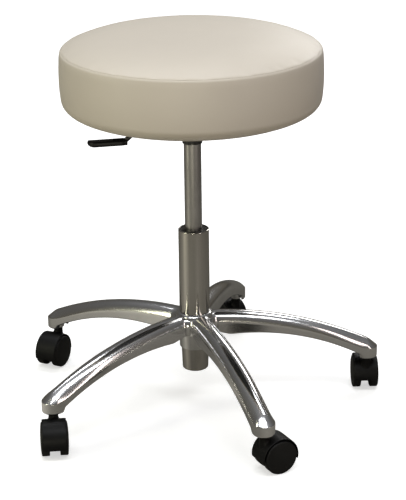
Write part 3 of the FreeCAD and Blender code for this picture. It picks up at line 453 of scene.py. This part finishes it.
# %% Heights of the casting
CREST_HEIGHT, CREST_START, CREST_ARC = 156.0, 30.0, 590.0
BELLY_HEIGHT, BELLY_PEAK, BELLY_ARC = 119.5, 92.0, 384.0
BELLY_START, HUB_BOSS_RADIUS, HUB_BOSS_TOP = 60.0, 25.5, 127.0
TIP_BOTTOM, TIP_STEP = 65.0, 3.0
EDGE_DROP, TIP_EDGE, EDGE_BLEND = 18.0, 82.0, 6.0
TIP_FULLNESS, FULLNESS_CHANGE = 0.25, (190.0, 285.0)
ROOF, WALL, LOWER_ROUND = 5.0, 4.0, 2.2
TOP_ROWS, UNDER_ROWS = 24, 6
SIDE_SHARES, ROOF_SHARES = (0.04, 0.12, 0.3, 0.5, 0.75, 0.93), (0.1, 0.35, 0.65, 1.0)


def crest(radius):
    """The arms' top line: level over the hub, then an arc that falls outwards."""
    return CREST_HEIGHT - CREST_ARC + np.sqrt(CREST_ARC ** 2 - np.maximum(radius - CREST_START, 0) ** 2)


def smooth_step(share):
    """Nought to one with level ends."""
    share = np.clip(share, 0, 1)
    return share * share * (3 - 2 * share)


def belly(radius, from_stem):
    """The arms' lower line: out from the hub's boss and over an arc. Close to the stem it steps down to
    the flat boss under the tip, whose side is upright like the tip's own."""
    fall = np.clip(radius, BELLY_START, STEM_CIRCLE) - BELLY_PEAK
    line = BELLY_HEIGHT - BELLY_ARC + np.sqrt(BELLY_ARC ** 2 - fall ** 2)
    root = np.clip((radius - HUB_BOSS_RADIUS) / (BELLY_START - HUB_BOSS_RADIUS), 0, 1)
    line = HUB_BOSS_TOP + root * (line - HUB_BOSS_TOP)
    share = smooth_step((ARM_HALF_WIDTH + TIP_STEP - from_stem) / TIP_STEP)
    return line + share * (TIP_BOTTOM - line)


def edge_height(radius):
    """Where the rounded top meets the side: a fixed drop below the crest, but level round the tip. The
    two lines are blended as the larger of both with its corner rounded off."""
    fallen = crest(radius) - EDGE_DROP
    return (fallen + TIP_EDGE + np.sqrt((fallen - TIP_EDGE) ** 2 + EDGE_BLEND ** 2)) / 2


def top_height(offset, radius):
    """From the crest in the arm's middle down to its edge. Along most of the arm the section is a quarter
    ellipse, which runs into the side without a corner. Towards the tip a square law takes over, and
    leaves a crease."""
    start, end = FULLNESS_CHANGE
    fullness = 1 + (TIP_FULLNESS - 1) * smooth_step((radius - start) / (end - start))
    near = 1 - np.minimum(offset, ARM_HALF_WIDTH) / ARM_HALF_WIDTH
    ellipse = 1 - np.sqrt(1 - near ** 2)
    fall = fullness * ellipse + (1 - fullness) * near ** 2
    return crest(radius) - (crest(radius) - edge_height(radius)) * fall


# %% Section of the casting, carried along half an arm
def section_row(offset, height):
    """One row of the skin: the outline moved inwards, at a height that depends on where that lands."""
    offset = np.broadcast_to(offset, reach.shape)
    place = outline + inward * offset[:, None]
    radius = np.hypot(*place.T)
    from_stem = np.hypot(place[:, 0] - STEM_CIRCLE, place[:, 1])
    return np.concatenate([place, height(offset, radius, from_stem)[:, None]], 1)


def below_top(drop):
    """A height for section_row that follows the top, a drop below it."""
    return lambda offset, radius, from_stem: top_height(offset, radius) - drop


def above_belly(lift):
    """A height for section_row that follows the lower line, a lift above it."""
    return lambda offset, radius, from_stem: belly(radius, from_stem) + lift


def half_arm():
    """Rows from the middle of the top, over the edge, down the side, under, up inside and along the
    roof."""
    above = [section_row(reach * (1 - math.sin(turn)), below_top(0))
             for turn in np.linspace(0, math.pi / 2, TOP_ROWS)]
    edge, foot = above[-1], section_row(0, above_belly(LOWER_ROUND))
    side = [edge * (1 - share) + foot * share for share in SIDE_SHARES]
    under = [section_row(LOWER_ROUND * (1 - math.cos(turn)),
                         above_belly(LOWER_ROUND * (1 - math.sin(turn))))
             for turn in np.linspace(0, math.pi / 2, UNDER_ROWS)]
    inside = [section_row(WALL, above_belly(0.5)), section_row(WALL, below_top(ROOF + 1))]
    roof = [section_row(WALL + (reach - WALL) * share, below_top(ROOF)) for share in ROOF_SHARES]
    return np.stack(above + side + under + inside + roof)


def turned(grid, angle):
    """A grid turned about the z axis."""
    cos, sin = math.cos(angle), math.sin(angle)
    return grid @ np.array([[cos, sin, 0], [-sin, cos, 0], [0, 0, 1]])


def moved(grid, x):
    """A grid moved along x."""
    return grid + np.array([x, 0.0, 0.0])


skin = half_arm()
print("section has", len(skin), "rows")

# %% Hub, tip bosses and ribs
RIB_RADII, RIB_THICKNESS, RIB_LIFT = (110.0, 165.0, 220.0), 3.0, 6.0
RIB_INTO_WALL, RIB_INTO_ROOF = 0.3, 0.8


def hub_profile():
    """Up the bore, over the rim, down the core inside the arms, and in to the boss under it."""
    outside = rounded([(25.05, 157.5), (27.2, 157.5), (30.4, 155.0), (33.0, 149.0), (33.0, 125.0),
                       (25.5, 127.0), (25.5, 95.0), (22.8, 95.0)], (0.6, 2.4, 3.0, 0.8, 1.5, 1.2))
    return np.concatenate([outside, [(25.05, 157.5)]])


def tip_boss_profile():
    """The boss over a caster's stem, bored from below and closed above, and drawn in at the top so that
    it stays inside the roof."""
    return rounded([(0, 88.5), (5.6, 88.5), (5.6, 65.0), (10.5, 65.0), (10.5, 85.5), (6.5, 90.0),
                    (0, 93.0)], (0.2, 0.5, 0.8, 0.5, 0.5))


def rib(radius):
    """A slab across an arm. Each row is the slab's four corners at one place across, with the upper two
    just inside the roof, and the slab is closed by a middle point at each end."""
    across = np.linspace(-1, 1, 13) * (ARM_HALF_WIDTH - WALL + RIB_INTO_WALL)
    low = float(belly(radius, STEM_CIRCLE - radius)) + RIB_LIFT
    rows = []
    for y in across:
        high = float(top_height(ARM_HALF_WIDTH - abs(y), radius)) - ROOF + RIB_INTO_ROOF
        rows.append([(radius, y, low), (radius + RIB_THICKNESS, y, low),
                     (radius + RIB_THICKNESS, y, high), (radius, y, high)])
    rows = np.array(rows)
    ends = rows[[0, -1]].mean(1, keepdims=True) * np.ones((1, 4, 1))
    return np.concatenate([ends[:1], rows, ends[1:]])


def casting_grids():
    """Both halves of each arm, the strip that closes the skin at the bore, and what is inside."""
    bore_strip = skin[[0, -1], :HUB_STATIONS]
    mirror = np.array([1, -1, 1])
    one_arm = [(grid * side, False) for grid in (skin, bore_strip) for side in (1, mirror)]
    one_arm += [(rib(radius), True) for radius in RIB_RADII]
    one_arm.append((moved(lathe(tip_boss_profile(), 48), STEM_CIRCLE), True))
    grids = [(turned(grid, angle), closed) for angle in ARM_ANGLES for grid, closed in one_arm]
    return grids + [(lathe(hub_profile(), 120), True)]


base_casting = mesh_object("base_casting", casting_grids())
close_up(base_casting)
fit(base_casting, "base", "polished_aluminium", "star_base")

# %% [markdown]
# ## The column and the lift's tube
# Both are turned tubes. Bright metal shows every facet in its reflections, so each is a fine lathe with
# its real wall, taper and rounded rim.

# %% Column and tube
COLUMN_PROFILE = rounded([(4.4, 58), (17.5, 58), (17.5, 55), (21.5, 55), (21.5, 62), (25, 157.5),
                          (25, 300), (23, 300), (23, 157.5), (19.5, 62), (19.5, 61), (4.4, 61), (4.4, 58)],
                         (0.2, 0.2, 3.5, 1, 1, 1.2, 0.5, 1, 0.3, 0.2, 0.2))
LIFT_PROFILE = rounded([(12.2, 204), (14, 204), (14, 446), (13.55, 475), (12.2, 475), (12.2, 204)],
                       (0.5, 1, 0.4, 0.3))
TUBE_TURNS = 160


def turned_piece(name, profile, body, slot, replaced):
    """A piece swept from one closed profile."""
    piece = mesh_object(name, [(lathe(profile, TUBE_TURNS), True)])
    close_up(piece)
    fit(piece, body, slot, replaced)


turned_piece("column_shell", COLUMN_PROFILE, "base", "chrome_column", "column_tube")
lift_slot = next(p["material_slot"] for p in frame["record"]["subparts"] if p["node"] == "pressure_tube")
turned_piece("lift_tube", LIFT_PROFILE, "seat", lift_slot, "pressure_tube")

# %% [markdown]
# ## Caster hoods
# Each caster has a moulded hood: a thin fender over both wheels, a web between them and a neck that
# takes the stem. All three are drawn in the caster's own frame, u along its trail, s to the side and z
# up, and then placed by the caster's joints.

# %% Hood surfaces
stem_1, axle_1 = (Vector(joints[name]["pos_m"]) / MM for name in ("caster_1_swivel", "wheel_1_left_roll"))
TRAIL, WHEEL_RADIUS = (axle_1 - stem_1).to_2d().length, axle_1.z
FENDER_MIDDLE, FENDER_HALF_THICKNESS, FENDER_HALF_WIDTH = WHEEL_RADIUS + 2.9, 1.1, 19.0
FENDER_START, FENDER_SWEEP = math.radians(-15), math.radians(205)
FENDER_NOSE, FENDER_CORNERS, FENDER_FLATNESS = 0.05, 0.16, 0.7
WEB_HALF_WIDTH, WEB_RADIUS, WEB_DROP, AXLE_BOSS_RADIUS = 6.5, FENDER_MIDDLE, 5.0, 12.0
NECK_RADIUS, NECK_FLARE, NECK_FLARE_START, NECK_EDGE, NECK_TOP = 7.5, 3.0, 60.0, 63.4, 64.0


def about_axle(radius, turn, side):
    """(u, s, z) from a distance and a turn about the axle, and a place along it."""
    return np.stack([TRAIL + radius * np.cos(turn), side, WHEEL_RADIUS + radius * np.sin(turn)], -1)


def fender():
    """A flat rounded section swept over the wheels. At each end it thins to nothing over a round nose."""
    turn = np.concatenate([np.linspace(0, FENDER_NOSE, 6), np.linspace(0.08, FENDER_SWEEP - 0.08, 46),
                           np.linspace(FENDER_SWEEP - FENDER_NOSE, FENDER_SWEEP, 6)])
    nose = np.clip(np.minimum(turn, FENDER_SWEEP - turn) / FENDER_NOSE, 0, 1)
    fullness = np.sqrt(np.maximum(1 - (1 - nose) ** 2, 0))[:, None]
    loop = full_turn(32)[None, :]
    side = squared_off(np.cos(loop), FENDER_CORNERS) * (FENDER_HALF_WIDTH - 1.0 + fullness)
    side = np.clip(side, -FENDER_HALF_WIDTH, FENDER_HALF_WIDTH)
    thickness = squared_off(np.sin(loop), FENDER_FLATNESS) * FENDER_HALF_THICKNESS * fullness
    radius = FENDER_MIDDLE + thickness
    return about_axle(radius, FENDER_START + turn[:, None], side * np.ones_like(turn)[:, None])


def web():
    """A plate between the wheels: a circle cut off level below the axle, but never inside the boss."""
    turn = full_turn(120)
    cut = WEB_DROP / np.maximum(-np.sin(turn), 1e-6)
    edge = np.where(cut > WEB_RADIUS, WEB_RADIUS, np.maximum(cut, AXLE_BOSS_RADIUS))
    rows = [(0.0, WEB_HALF_WIDTH), (0.97, WEB_HALF_WIDTH), (1.0, WEB_HALF_WIDTH - 0.6),
            (1.0, 0.6 - WEB_HALF_WIDTH), (0.97, -WEB_HALF_WIDTH), (0.0, -WEB_HALF_WIDTH)]
    return np.stack([about_axle(edge * share, turn, np.full_like(turn, side)) for share, side in rows])


def neck():
    """The upright neck: straight above, flared below, and ending on the middle of the fender's wall.
    In front of the fender the flare is drawn back, so that it grows out of the fender's curve."""
    turn = full_turn(64)
    flare = np.linspace(0, 1, 14)[:, None]
    radius = NECK_RADIUS + NECK_FLARE * flare ** 2.5
    u = radius * np.cos(turn)
    u = np.where(u < 0, u * (1 - 0.3 * flare), u)
    side = radius * np.sin(turn)
    foot = WHEEL_RADIUS + np.sqrt(np.maximum(FENDER_MIDDLE ** 2 - (u[-1] - TRAIL) ** 2, 12.0 ** 2))
    straight = np.stack([u[0], side[0], np.full_like(turn, NECK_EDGE)], -1)[None]
    shoulder = np.stack([u[0] * 0.92, side[0] * 0.92, np.full_like(turn, NECK_TOP)], -1)[None]
    flared = np.stack([u, side, NECK_FLARE_START + (foot - NECK_FLARE_START) * flare], -1)
    close_top = shoulder * np.array([0, 0, 1])
    close_foot = flared[-1:] * np.array([0, 0, 1])
    return np.concatenate([close_top, shoulder, straight, flared, close_foot])


def caster_place(number, grid):
    """A caster's own (u, s, z) as (x, y, z), from its swivel axis and its axle's middle."""
    stem = np.array(joints[f"caster_{number}_swivel"]["pos_m"][:2]) / MM
    axle = np.array(joints[f"wheel_{number}_left_roll"]["pos_m"][:2]) / MM
    trail = (axle - stem) / np.linalg.norm(axle - stem)
    side = np.array([-trail[1], trail[0]])
    plan = stem + grid[..., :1] * trail + grid[..., 1:2] * side
    return np.concatenate([plan, grid[..., 2:]], -1)


for number in range(1, ARM_COUNT + 1):
    grids = [(caster_place(number, grid), True) for grid in (fender(), web(), neck())]
    hood = mesh_object(f"caster_{number}_cover", grids)
    close_up(hood)
    fit(hood, f"caster_{number}", "hood_plastic", f"caster_{number}_hood")

# %% [markdown]
# ## The lever's handle
# A flat paddle is moulded over the rod's end, with one big corner and a round boss where the rod goes
# in. Its section is a squared-off oval, and both its width and its middle change along its length. The
# whole handle droops a little towards its outer end.

# %% Paddle and boss
PADDLE_ENDS, PADDLE_HEIGHT, PADDLE_HALF_WIDTH, PADDLE_HALF_THICKNESS = (-167.0, -106.0), 447.5, 10.0, 4.5
BIG_CORNER, SMALL_CORNER, PADDLE_DROOP = 14.0, 5.0, math.radians(3.4)
NOSE_LENGTH, NOSE_RISE, END_ROUND = 12.0, 6.0, 1.6
PADDLE_LENGTH = PADDLE_ENDS[1] - PADDLE_ENDS[0]
PADDLE_SIDES, PADDLE_FACES = 0.35, 0.55


def corner_line(distance, radius):
    """How far a rounded corner holds the edge back, at a distance from the end."""
    inside = np.clip(radius - distance, 0, radius)
    return radius - np.sqrt(radius ** 2 - inside ** 2)


def paddle():
    """Squared ovals across the lever, from the outer end to the inner one. Below, the outer end curves
    up to a nose."""
    outer = (1 - np.cos(np.linspace(0, math.pi / 2, 14))) * BIG_CORNER
    inner = np.linspace(BIG_CORNER, PADDLE_LENGTH, 26)[1:]
    distance = np.concatenate([outer, inner])
    from_inner = PADDLE_LENGTH - distance
    near = -PADDLE_HALF_WIDTH + corner_line(distance, BIG_CORNER) + corner_line(from_inner, SMALL_CORNER)
    far = PADDLE_HALF_WIDTH - corner_line(distance, SMALL_CORNER) - corner_line(from_inner, SMALL_CORNER)
    loop = full_turn(40)
    across = squared_off(np.cos(loop), PADDLE_SIDES)
    upward = squared_off(np.sin(loop), PADDLE_FACES)
    nose = np.sqrt(1 - (1 - np.clip(np.minimum(distance, from_inner) / END_ROUND, 0, 1)) ** 2)[:, None]
    y = ((near + far) / 2)[:, None] + ((far - near) / 2)[:, None] * across
    past_nose = np.clip(distance / NOSE_LENGTH, 0, 1)
    rise = NOSE_RISE * (1 - np.sqrt(1 - (1 - past_nose) ** 2))[:, None]
    thickness = PADDLE_HALF_THICKNESS - np.where(upward < 0, rise, 0)
    z = PADDLE_HEIGHT + thickness * nose * upward
    grid = np.stack([np.broadcast_to((PADDLE_ENDS[0] + distance)[:, None], y.shape), y, z], -1)
    ends = grid[[0, -1]].mean(1, keepdims=True) * np.ones((1, len(loop), 1))
    return np.concatenate([ends[:1], grid, ends[1:]])


def lever_boss():
    """A round boss along the lever, from a lathe laid on its side."""
    profile = rounded([(0, -128.0), (6.0, -128.0), (6.0, -103.0), (0, -103.0)], (2.5, 1.2))
    grid = lathe(profile, 48)
    return np.stack([grid[..., 2], grid[..., 0], grid[..., 1] + PADDLE_HEIGHT], -1)


def drooped(grid):
    """Turned about the inner end, so that the outer end hangs lower."""
    out, up = grid[..., 0] - PADDLE_ENDS[1], grid[..., 2] - PADDLE_HEIGHT
    cos, sin = math.cos(PADDLE_DROOP), math.sin(PADDLE_DROOP)
    x, z = PADDLE_ENDS[1] + out * cos - up * sin, PADDLE_HEIGHT + out * sin + up * cos
    return np.stack([x, grid[..., 1], z], -1)


paddle_piece = mesh_object("lever_paddle", [(drooped(paddle()), True), (drooped(lever_boss()), True)])
close_up(paddle_piece)
fit(paddle_piece, "lever", "handle_plastic", "lever_handle")

# %% [markdown]
# ## The cushion
# The seat is foam under coated cloth: a round top panel sewn to a side band, with the band pulled under
# the board and stapled. Its outline is one turned line, drawn in at the seam. The line starts a little
# small, and a short cloth simulation with air pressure and no gravity then fills it, so that the cover
# is tight between the seam and the staples. The seam and the hem are pinned. Both stay turned grids,
# because remeshing would wipe out a seam this fine.

# %% Outline of the cushion
SEAM_RADIUS, SEAM_HEIGHT, CROWN_HEIGHT, CROWN_FULLNESS = 203.0, 600.0, 23.0, 4.5
SIDE_SPANS = (((203, 600), (207, 593), (208, 577), (208, 556)),
              ((208, 556), (208, 541), (207.2, 533), (206, 522)),
              ((206, 522), (204.7, 509.5), (190.5, 500.6), (172, 500.6)))
HEM_RADIUS, HEM_HEIGHT = 160.0, 500.6
SEAM_DEPTH, SEAM_WIDTH = 1.3, 2.4
FILL_ROOM = 1.0


def bezier(span, share):
    """A cubic curve through four control points."""
    a, b, c, d = (np.array(point, float) for point in span)
    t = np.asarray(share)[:, None]
    return (1 - t) ** 3 * a + 3 * (1 - t) ** 2 * t * b + 3 * (1 - t) * t ** 2 * c + t ** 3 * d


def resampled(line, distance):
    """Points at given distances along a run of points."""
    length = np.concatenate([[0], np.cumsum(np.linalg.norm(np.diff(line, axis=0), axis=1))])
    return np.stack([np.interp(distance, length, line[:, k]) for k in (0, 1)], 1), length[-1]


def cushion_line():
    """Crown, side and underside as one line of points, close together near the seam, then each point's
    distance from the seam, and the seam's row."""
    radius = np.linspace(0, SEAM_RADIUS, 400)
    fall = (radius / SEAM_RADIUS) ** CROWN_FULLNESS
    crown = np.stack([radius, SEAM_HEIGHT + CROWN_HEIGHT * (1 - fall)], 1)
    spans = [bezier(span, np.linspace(0, 1, 120)) for span in SIDE_SPANS]
    side = np.concatenate(spans + [[(HEM_RADIUS, HEM_HEIGHT)]])
    near = np.array([0.0, 0.6, 1.2, 1.8, 2.5, 3.4, 4.6, 6.2])
    _, crown_length = resampled(crown, [0])
    _, side_length = resampled(side, [0])
    crown_at = np.concatenate([np.linspace(0, crown_length - 10, 38), crown_length - near[::-1]])
    side_at = np.concatenate([near[1:], np.linspace(9, side_length - 12, 36), [side_length]])
    top, _ = resampled(crown, crown_at)
    below, _ = resampled(side, side_at)
    from_seam = np.concatenate([crown_length - crown_at, side_at])
    return np.concatenate([top, below]), from_seam, len(top) - 1


def outward(line):
    """The direction square to a line of (radius, height) points, away from the cushion."""
    run = np.gradient(line, axis=0)
    run /= np.linalg.norm(run, axis=1)[:, None]
    return np.stack([-run[:, 1], run[:, 0]], 1)


line, from_seam, seam_row = cushion_line()
print(f"cushion line has {len(line)} points, seam at row {seam_row}")

# %% The cushion's shell before it is filled
CUSHION_TURNS = 180
PUCKER_WAVES = ((37, 0.11, 0.3), (61, 0.08, 1.9), (23, 0.12, 4.0))


def cushion_shell():
    """The outline swept round, moved in by the fill's room away from the seam, by the seam's groove near
    it, and by faint puckers that run out from the seam and fade."""
    angle = full_turn(CUSHION_TURNS)
    groove = SEAM_DEPTH * np.exp(-(from_seam / SEAM_WIDTH) ** 2)
    room = FILL_ROOM * np.clip((from_seam - 4) / 16, 0, 1) * np.where(line[:, 1] > 502, 1, 0)
    pucker = sum(size * np.sin(waves * angle + start) for waves, size, start in PUCKER_WAVES)
    fade = np.exp(-from_seam / 9) * np.clip(from_seam / 3, 0, 1)
    inset = (groove + room)[:, None] + fade[:, None] * pucker[None, :]
    direction = outward(line)
    radius = line[:, :1] - direction[:, :1] * inset
    height = line[:, 1:] - direction[:, 1:] * inset
    radius[0] = 0
    height[0] = height[0].mean()
    return np.stack([radius * np.cos(angle), radius * np.sin(angle), height], -1)


shell = cushion_shell()
print("shell of", shell.shape[0] * shell.shape[1], "points")

# %% Fill it by cloth simulation
PRESSURE, FILL_STEPS, MOST_MOVE = 0.9, 20, 2.2


def pinned(columns):
    """Numbers of the points that stay put: the seam and the part stapled under the board. The trial has
    no row for the pole, so its rows start one further out than the line's."""
    held = (from_seam < 1.5) | (line[:, 1] < 501.5)
    return np.flatnonzero(np.repeat(held[1:], columns))


def filled(grid):
    """The grid after a few steps as cloth under pressure, with no point moved further than MOST_MOVE. The
    pole's points all lie in one place, which cloth cannot take, so they are left out and then set in the
    middle of the ring round them. The faces are turned outwards, the way pressure pushes."""
    open_grid = grid[1:]
    rows, columns, _ = open_grid.shape
    trial = mesh_object("cushion_trial", [(open_grid, True)])
    trial.data.flip_normals()
    group = trial.vertex_groups.new(name="pinned")
    group.add(pinned(columns).tolist(), 1.0, "REPLACE")
    cloth = trial.modifiers.new("fill", "CLOTH")
    settings = cloth.settings
    settings.quality = 6
    settings.mass = 0.4
    settings.tension_stiffness = settings.compression_stiffness = 25
    settings.bending_stiffness = 2.0
    settings.use_pressure = True
    settings.uniform_pressure_force = PRESSURE
    settings.vertex_group_mass = "pinned"
    settings.effector_weights.gravity = 0
    cloth.collision_settings.use_collision = False
    cloth.point_cache.frame_start, cloth.point_cache.frame_end = 1, FILL_STEPS
    for step in range(1, FILL_STEPS + 1):
        bpy.context.scene.frame_set(step)
    result = trial.evaluated_get(bpy.context.evaluated_depsgraph_get()).to_mesh()
    points = np.zeros(rows * columns * 3, np.float32)
    result.vertices.foreach_get("co", points)
    bpy.data.objects.remove(trial)
    bpy.context.scene.frame_set(1)
    move = points.reshape(open_grid.shape) / MM - open_grid
    far = np.linalg.norm(move, axis=-1, keepdims=True)
    print(f"fill moved the cover by up to {far.max():.2f} mm and {far.mean():.2f} mm on average")
    new = open_grid + move * np.minimum(1, MOST_MOVE / np.maximum(far, 1e-6))
    pole = np.repeat(new[:1].mean(1, keepdims=True), columns, 1)
    return np.concatenate([pole, new])


shell = filled(shell)

# %% Top panel and side band from the filled shell
TOP_LINING = ((197.0, 594.0), (0.0, 594.0))
BAND_LINING = ((HEM_RADIUS, 501.75), (171.0, 501.75), (184.5, 506.4), (184.5, 588.0))


def padded_piece(name, grid, *replaced):
    """A closed, subdivided cushion piece in coated cloth."""
    piece = mesh_object(name, [(grid, True)])
    close_up(piece)
    smooth = piece.modifiers.new("smooth", "SUBSURF")
    smooth.levels = smooth.render_levels = 1
    fit(piece, "seat", "vinyl", *replaced)


seam = shell[seam_row:seam_row + 1]
top_grid = np.concatenate([shell[:seam_row + 1], lathe(TOP_LINING, CUSHION_TURNS)])
band_grid = np.concatenate([shell[seam_row:], lathe(BAND_LINING, CUSHION_TURNS), seam])
padded_piece("seat_top", top_grid, "seat_top_panel", "seat_foam")
padded_piece("seat_band", band_grid, "seat_side_band")

# %% [markdown]
# ## The cloth under the seat
# A disc of black woven cloth hides the board and the stapled hem. It is stretched flat, so it shows only
# small ripples that run in from the staples.

# %% Dust cover
COVER_RADIUS, COVER_THICKNESS, COVER_TURNS = 170.0, 0.7, 192
COVER_HEIGHT, HEM_DROP = 501.05, 1.2
STAPLE_COUNT, RIPPLE, RIPPLE_START, RIPPLE_LENGTH = 32, 0.35, 128.0, 30.0


def cover_side(radius, height):
    """One face of the cloth: a lathe whose height sags between the staples, towards its edge."""
    grid = lathe(np.stack([radius, height], 1), COVER_TURNS)
    angle = full_turn(COVER_TURNS)
    sag = (1 - np.cos(STAPLE_COUNT * angle)) / 2 * (0.7 + 0.3 * np.sin(3 * angle + 1))
    outer_share = np.clip((radius - RIPPLE_START) / RIPPLE_LENGTH, 0, 1)
    grid[..., 2] -= RIPPLE * outer_share[:, None] * sag[None, :]
    return grid


def dust_cover():
    """The lower face from the middle out, and the upper face back in."""
    radius = np.concatenate([np.linspace(0, 150, 20), np.linspace(153, 169.4, 10)])
    low = COVER_HEIGHT - HEM_DROP * np.clip((radius - 155) / 6, 0, 1)
    return np.concatenate([cover_side(radius, low), cover_side(radius[::-1], low[::-1] + COVER_THICKNESS)])


cover = mesh_object("dust_cover", [(dust_cover(), True)])
close_up(cover)
fit(cover, "seat", "dust_cloth", "seat_dust_cover")

# %% [markdown]
# ## Floor and light
# A pale floor runs to the horizon. Two long soft lamps overhead give the white bands along the
# arms, and smaller lamps at the sides and low in front fill in the seat's side. The room above the
# horizon is dim and brownish, which is what polished metal shows between the highlights. The floor is
# pale to the eye, but dim and patchy in reflections, as the floor of a real workshop is outside the
# lamps' reach. Its patches draw the upright streaks on the column.

# %% Floor
FLOOR_REACH, GLOW_REACH = 12.0, 2.2
FLOOR_PALE, FLOOR_DIM, FLOOR_GLOW = (0.78, 0.78, 0.78, 1), (0.225, 0.213, 0.187), (0.5, 1.0)
FLOOR_PATCHES = (  # turn about the column from -x, as a share of a full turn, and brightness
    (0.0, 1.4), (0.05, 2.3), (0.10, 1.7), (0.15, 1.05), (0.25, 0.95), (0.32, 1.2), (0.42, 0.95),
    (0.57, 0.75), (0.75, 0.5), (0.92, 0.9), (1.0, 1.4))


def patchy_colour(tree):
    """The dim colour times a brightness that changes with the direction from the column."""
    place = tree.nodes.new("ShaderNodeTexCoord").outputs["Object"]
    around = tree.nodes.new("ShaderNodeTexGradient")
    around.gradient_type = "RADIAL"
    tree.links.new(place, around.inputs["Vector"])
    ramp = tree.nodes.new("ShaderNodeValToRGB")
    stops = [(turn, tuple(part * bright for part in FLOOR_DIM)) for turn, bright in FLOOR_PATCHES]
    set_stops(ramp.color_ramp, stops)
    tree.links.new(around.outputs["Fac"], ramp.inputs["Fac"])
    return ramp.outputs["Color"]


def far_glow(tree):
    """The glow's strength: the first value of FLOOR_GLOW at the column, the second a few metres away."""
    place = tree.nodes.new("ShaderNodeTexCoord").outputs["Object"]
    distance = tree.nodes.new("ShaderNodeVectorMath")
    distance.operation = "LENGTH"
    tree.links.new(place, distance.inputs[0])
    strength = tree.nodes.new("ShaderNodeMapRange")
    strength.inputs["From Max"].default_value = GLOW_REACH
    strength.inputs["To Min"].default_value, strength.inputs["To Max"].default_value = FLOOR_GLOW
    tree.links.new(distance.outputs["Value"], strength.inputs["Value"])
    return strength.outputs["Result"]


def set_stops(ramp, stops):
    """Gives a colour ramp its (position, colour) stops."""
    while len(ramp.elements) < len(stops):
        ramp.elements.new(0.5)
    for element, (position, colour) in zip(ramp.elements, stops):
        element.position = position
        element.color = (*colour, 1)


def add_floor():
    """Pale and glowing to the camera, dim and patchy to every other ray."""
    mesh = bpy.data.meshes.new("floor")
    corners = [(x * FLOOR_REACH, y * FLOOR_REACH, 0) for x, y in ((-1, -1), (1, -1), (1, 1), (-1, 1))]
    mesh.from_pydata(corners, [], [(0, 1, 2, 3)])
    floor = bpy.data.objects.new("floor", mesh)
    bpy.context.scene.collection.objects.link(floor)
    material = bpy.data.materials.new("floor_paint")
    material.use_nodes = True
    tree = material.node_tree
    tree.nodes.clear()
    output = tree.nodes.new("ShaderNodeOutputMaterial")
    seen = tree.nodes.new("ShaderNodeLightPath").outputs["Is Camera Ray"]
    pale = tree.nodes.new("ShaderNodeBsdfDiffuse")
    pale.inputs["Color"].default_value = FLOOR_PALE
    glow = tree.nodes.new("ShaderNodeEmission")
    tree.links.new(far_glow(tree), glow.inputs["Strength"])
    both = tree.nodes.new("ShaderNodeAddShader")
    tree.links.new(pale.outputs[0], both.inputs[0])
    tree.links.new(glow.outputs[0], both.inputs[1])
    dim = tree.nodes.new("ShaderNodeBsdfDiffuse")
    tree.links.new(patchy_colour(tree), dim.inputs["Color"])
    mix = tree.nodes.new("ShaderNodeMixShader")
    tree.links.new(seen, mix.inputs["Fac"])
    tree.links.new(dim.outputs[0], mix.inputs[1])
    tree.links.new(both.outputs[0], mix.inputs[2])
    tree.links.new(mix.outputs[0], output.inputs["Surface"])
    mesh.materials.append(material)


add_floor()
print(f"floor {2 * FLOOR_REACH:.0f} m across")

# %% Lamps and room
LAMPS = (  # name, place, target, width, height, power, colour
    ("overhead_front", (0, -1.15, 2.5), (0, -0.4, 0.3), 2.4, 0.40, 30, (0.96, 0.98, 1.0)),
    ("overhead_back", (0, 0.75, 2.5), (0, 0.2, 0.3), 2.4, 0.40, 26, (0.96, 0.98, 1.0)),
    ("left_strip", (-1.7, -0.8, 0.9), (0, 0, 0.3), 0.25, 1.5, 9, (1.0, 0.99, 0.74)),
    ("right_strip", (1.5, -1.3, 0.9), (0, 0, 0.3), 0.18, 1.5, 5, (1.0, 0.88, 0.82)),
    ("front_low", (-0.3, -2.9, 0.4), (0, 0, 0.5), 1.2, 0.22, 14, (1.0, 0.94, 0.76)),
    ("back_strip", (0.9, 1.8, 1.3), (0, 0, 0.3), 1.2, 0.4, 10, (1.0, 0.98, 0.95)),
)
ROOM_HEIGHTS = ((0.0, (0.10, 0.09, 0.07)), (0.3, (0.10, 0.095, 0.085)), (0.62, (0.12, 0.118, 0.115)),
                (1.0, (0.26, 0.26, 0.265)))


def add_lamps():
    """Rectangular lamps, each turned to face its target."""
    for name, place, target, width, height, power, colour in LAMPS:
        data = bpy.data.lights.new(name, "AREA")
        data.shape = "RECTANGLE"
        data.size, data.size_y = width, height
        data.energy = power
        data.color = colour
        lamp = bpy.data.objects.new(name, data)
        lamp.location = place
        lamp.rotation_euler = (Vector(target) - Vector(place)).to_track_quat("-Z", "Y").to_euler()
        bpy.context.scene.collection.objects.link(lamp)


def add_room():
    """A room whose brightness depends only on how high one looks."""
    world = bpy.data.worlds.new("studio")
    bpy.context.scene.world = world
    world.use_nodes = True
    tree = world.node_tree
    place = tree.nodes.new("ShaderNodeTexCoord").outputs["Generated"]
    split = tree.nodes.new("ShaderNodeSeparateXYZ")
    tree.links.new(place, split.inputs[0])
    ramp = tree.nodes.new("ShaderNodeValToRGB")
    set_stops(ramp.color_ramp, ROOM_HEIGHTS)
    tree.links.new(split.outputs["Z"], ramp.inputs["Fac"])
    tree.links.new(ramp.outputs["Color"], tree.nodes["Background"].inputs["Color"])


add_lamps()
add_room()
bpy.context.scene.view_settings.view_transform = "Standard"
print(len(LAMPS), "lamps")
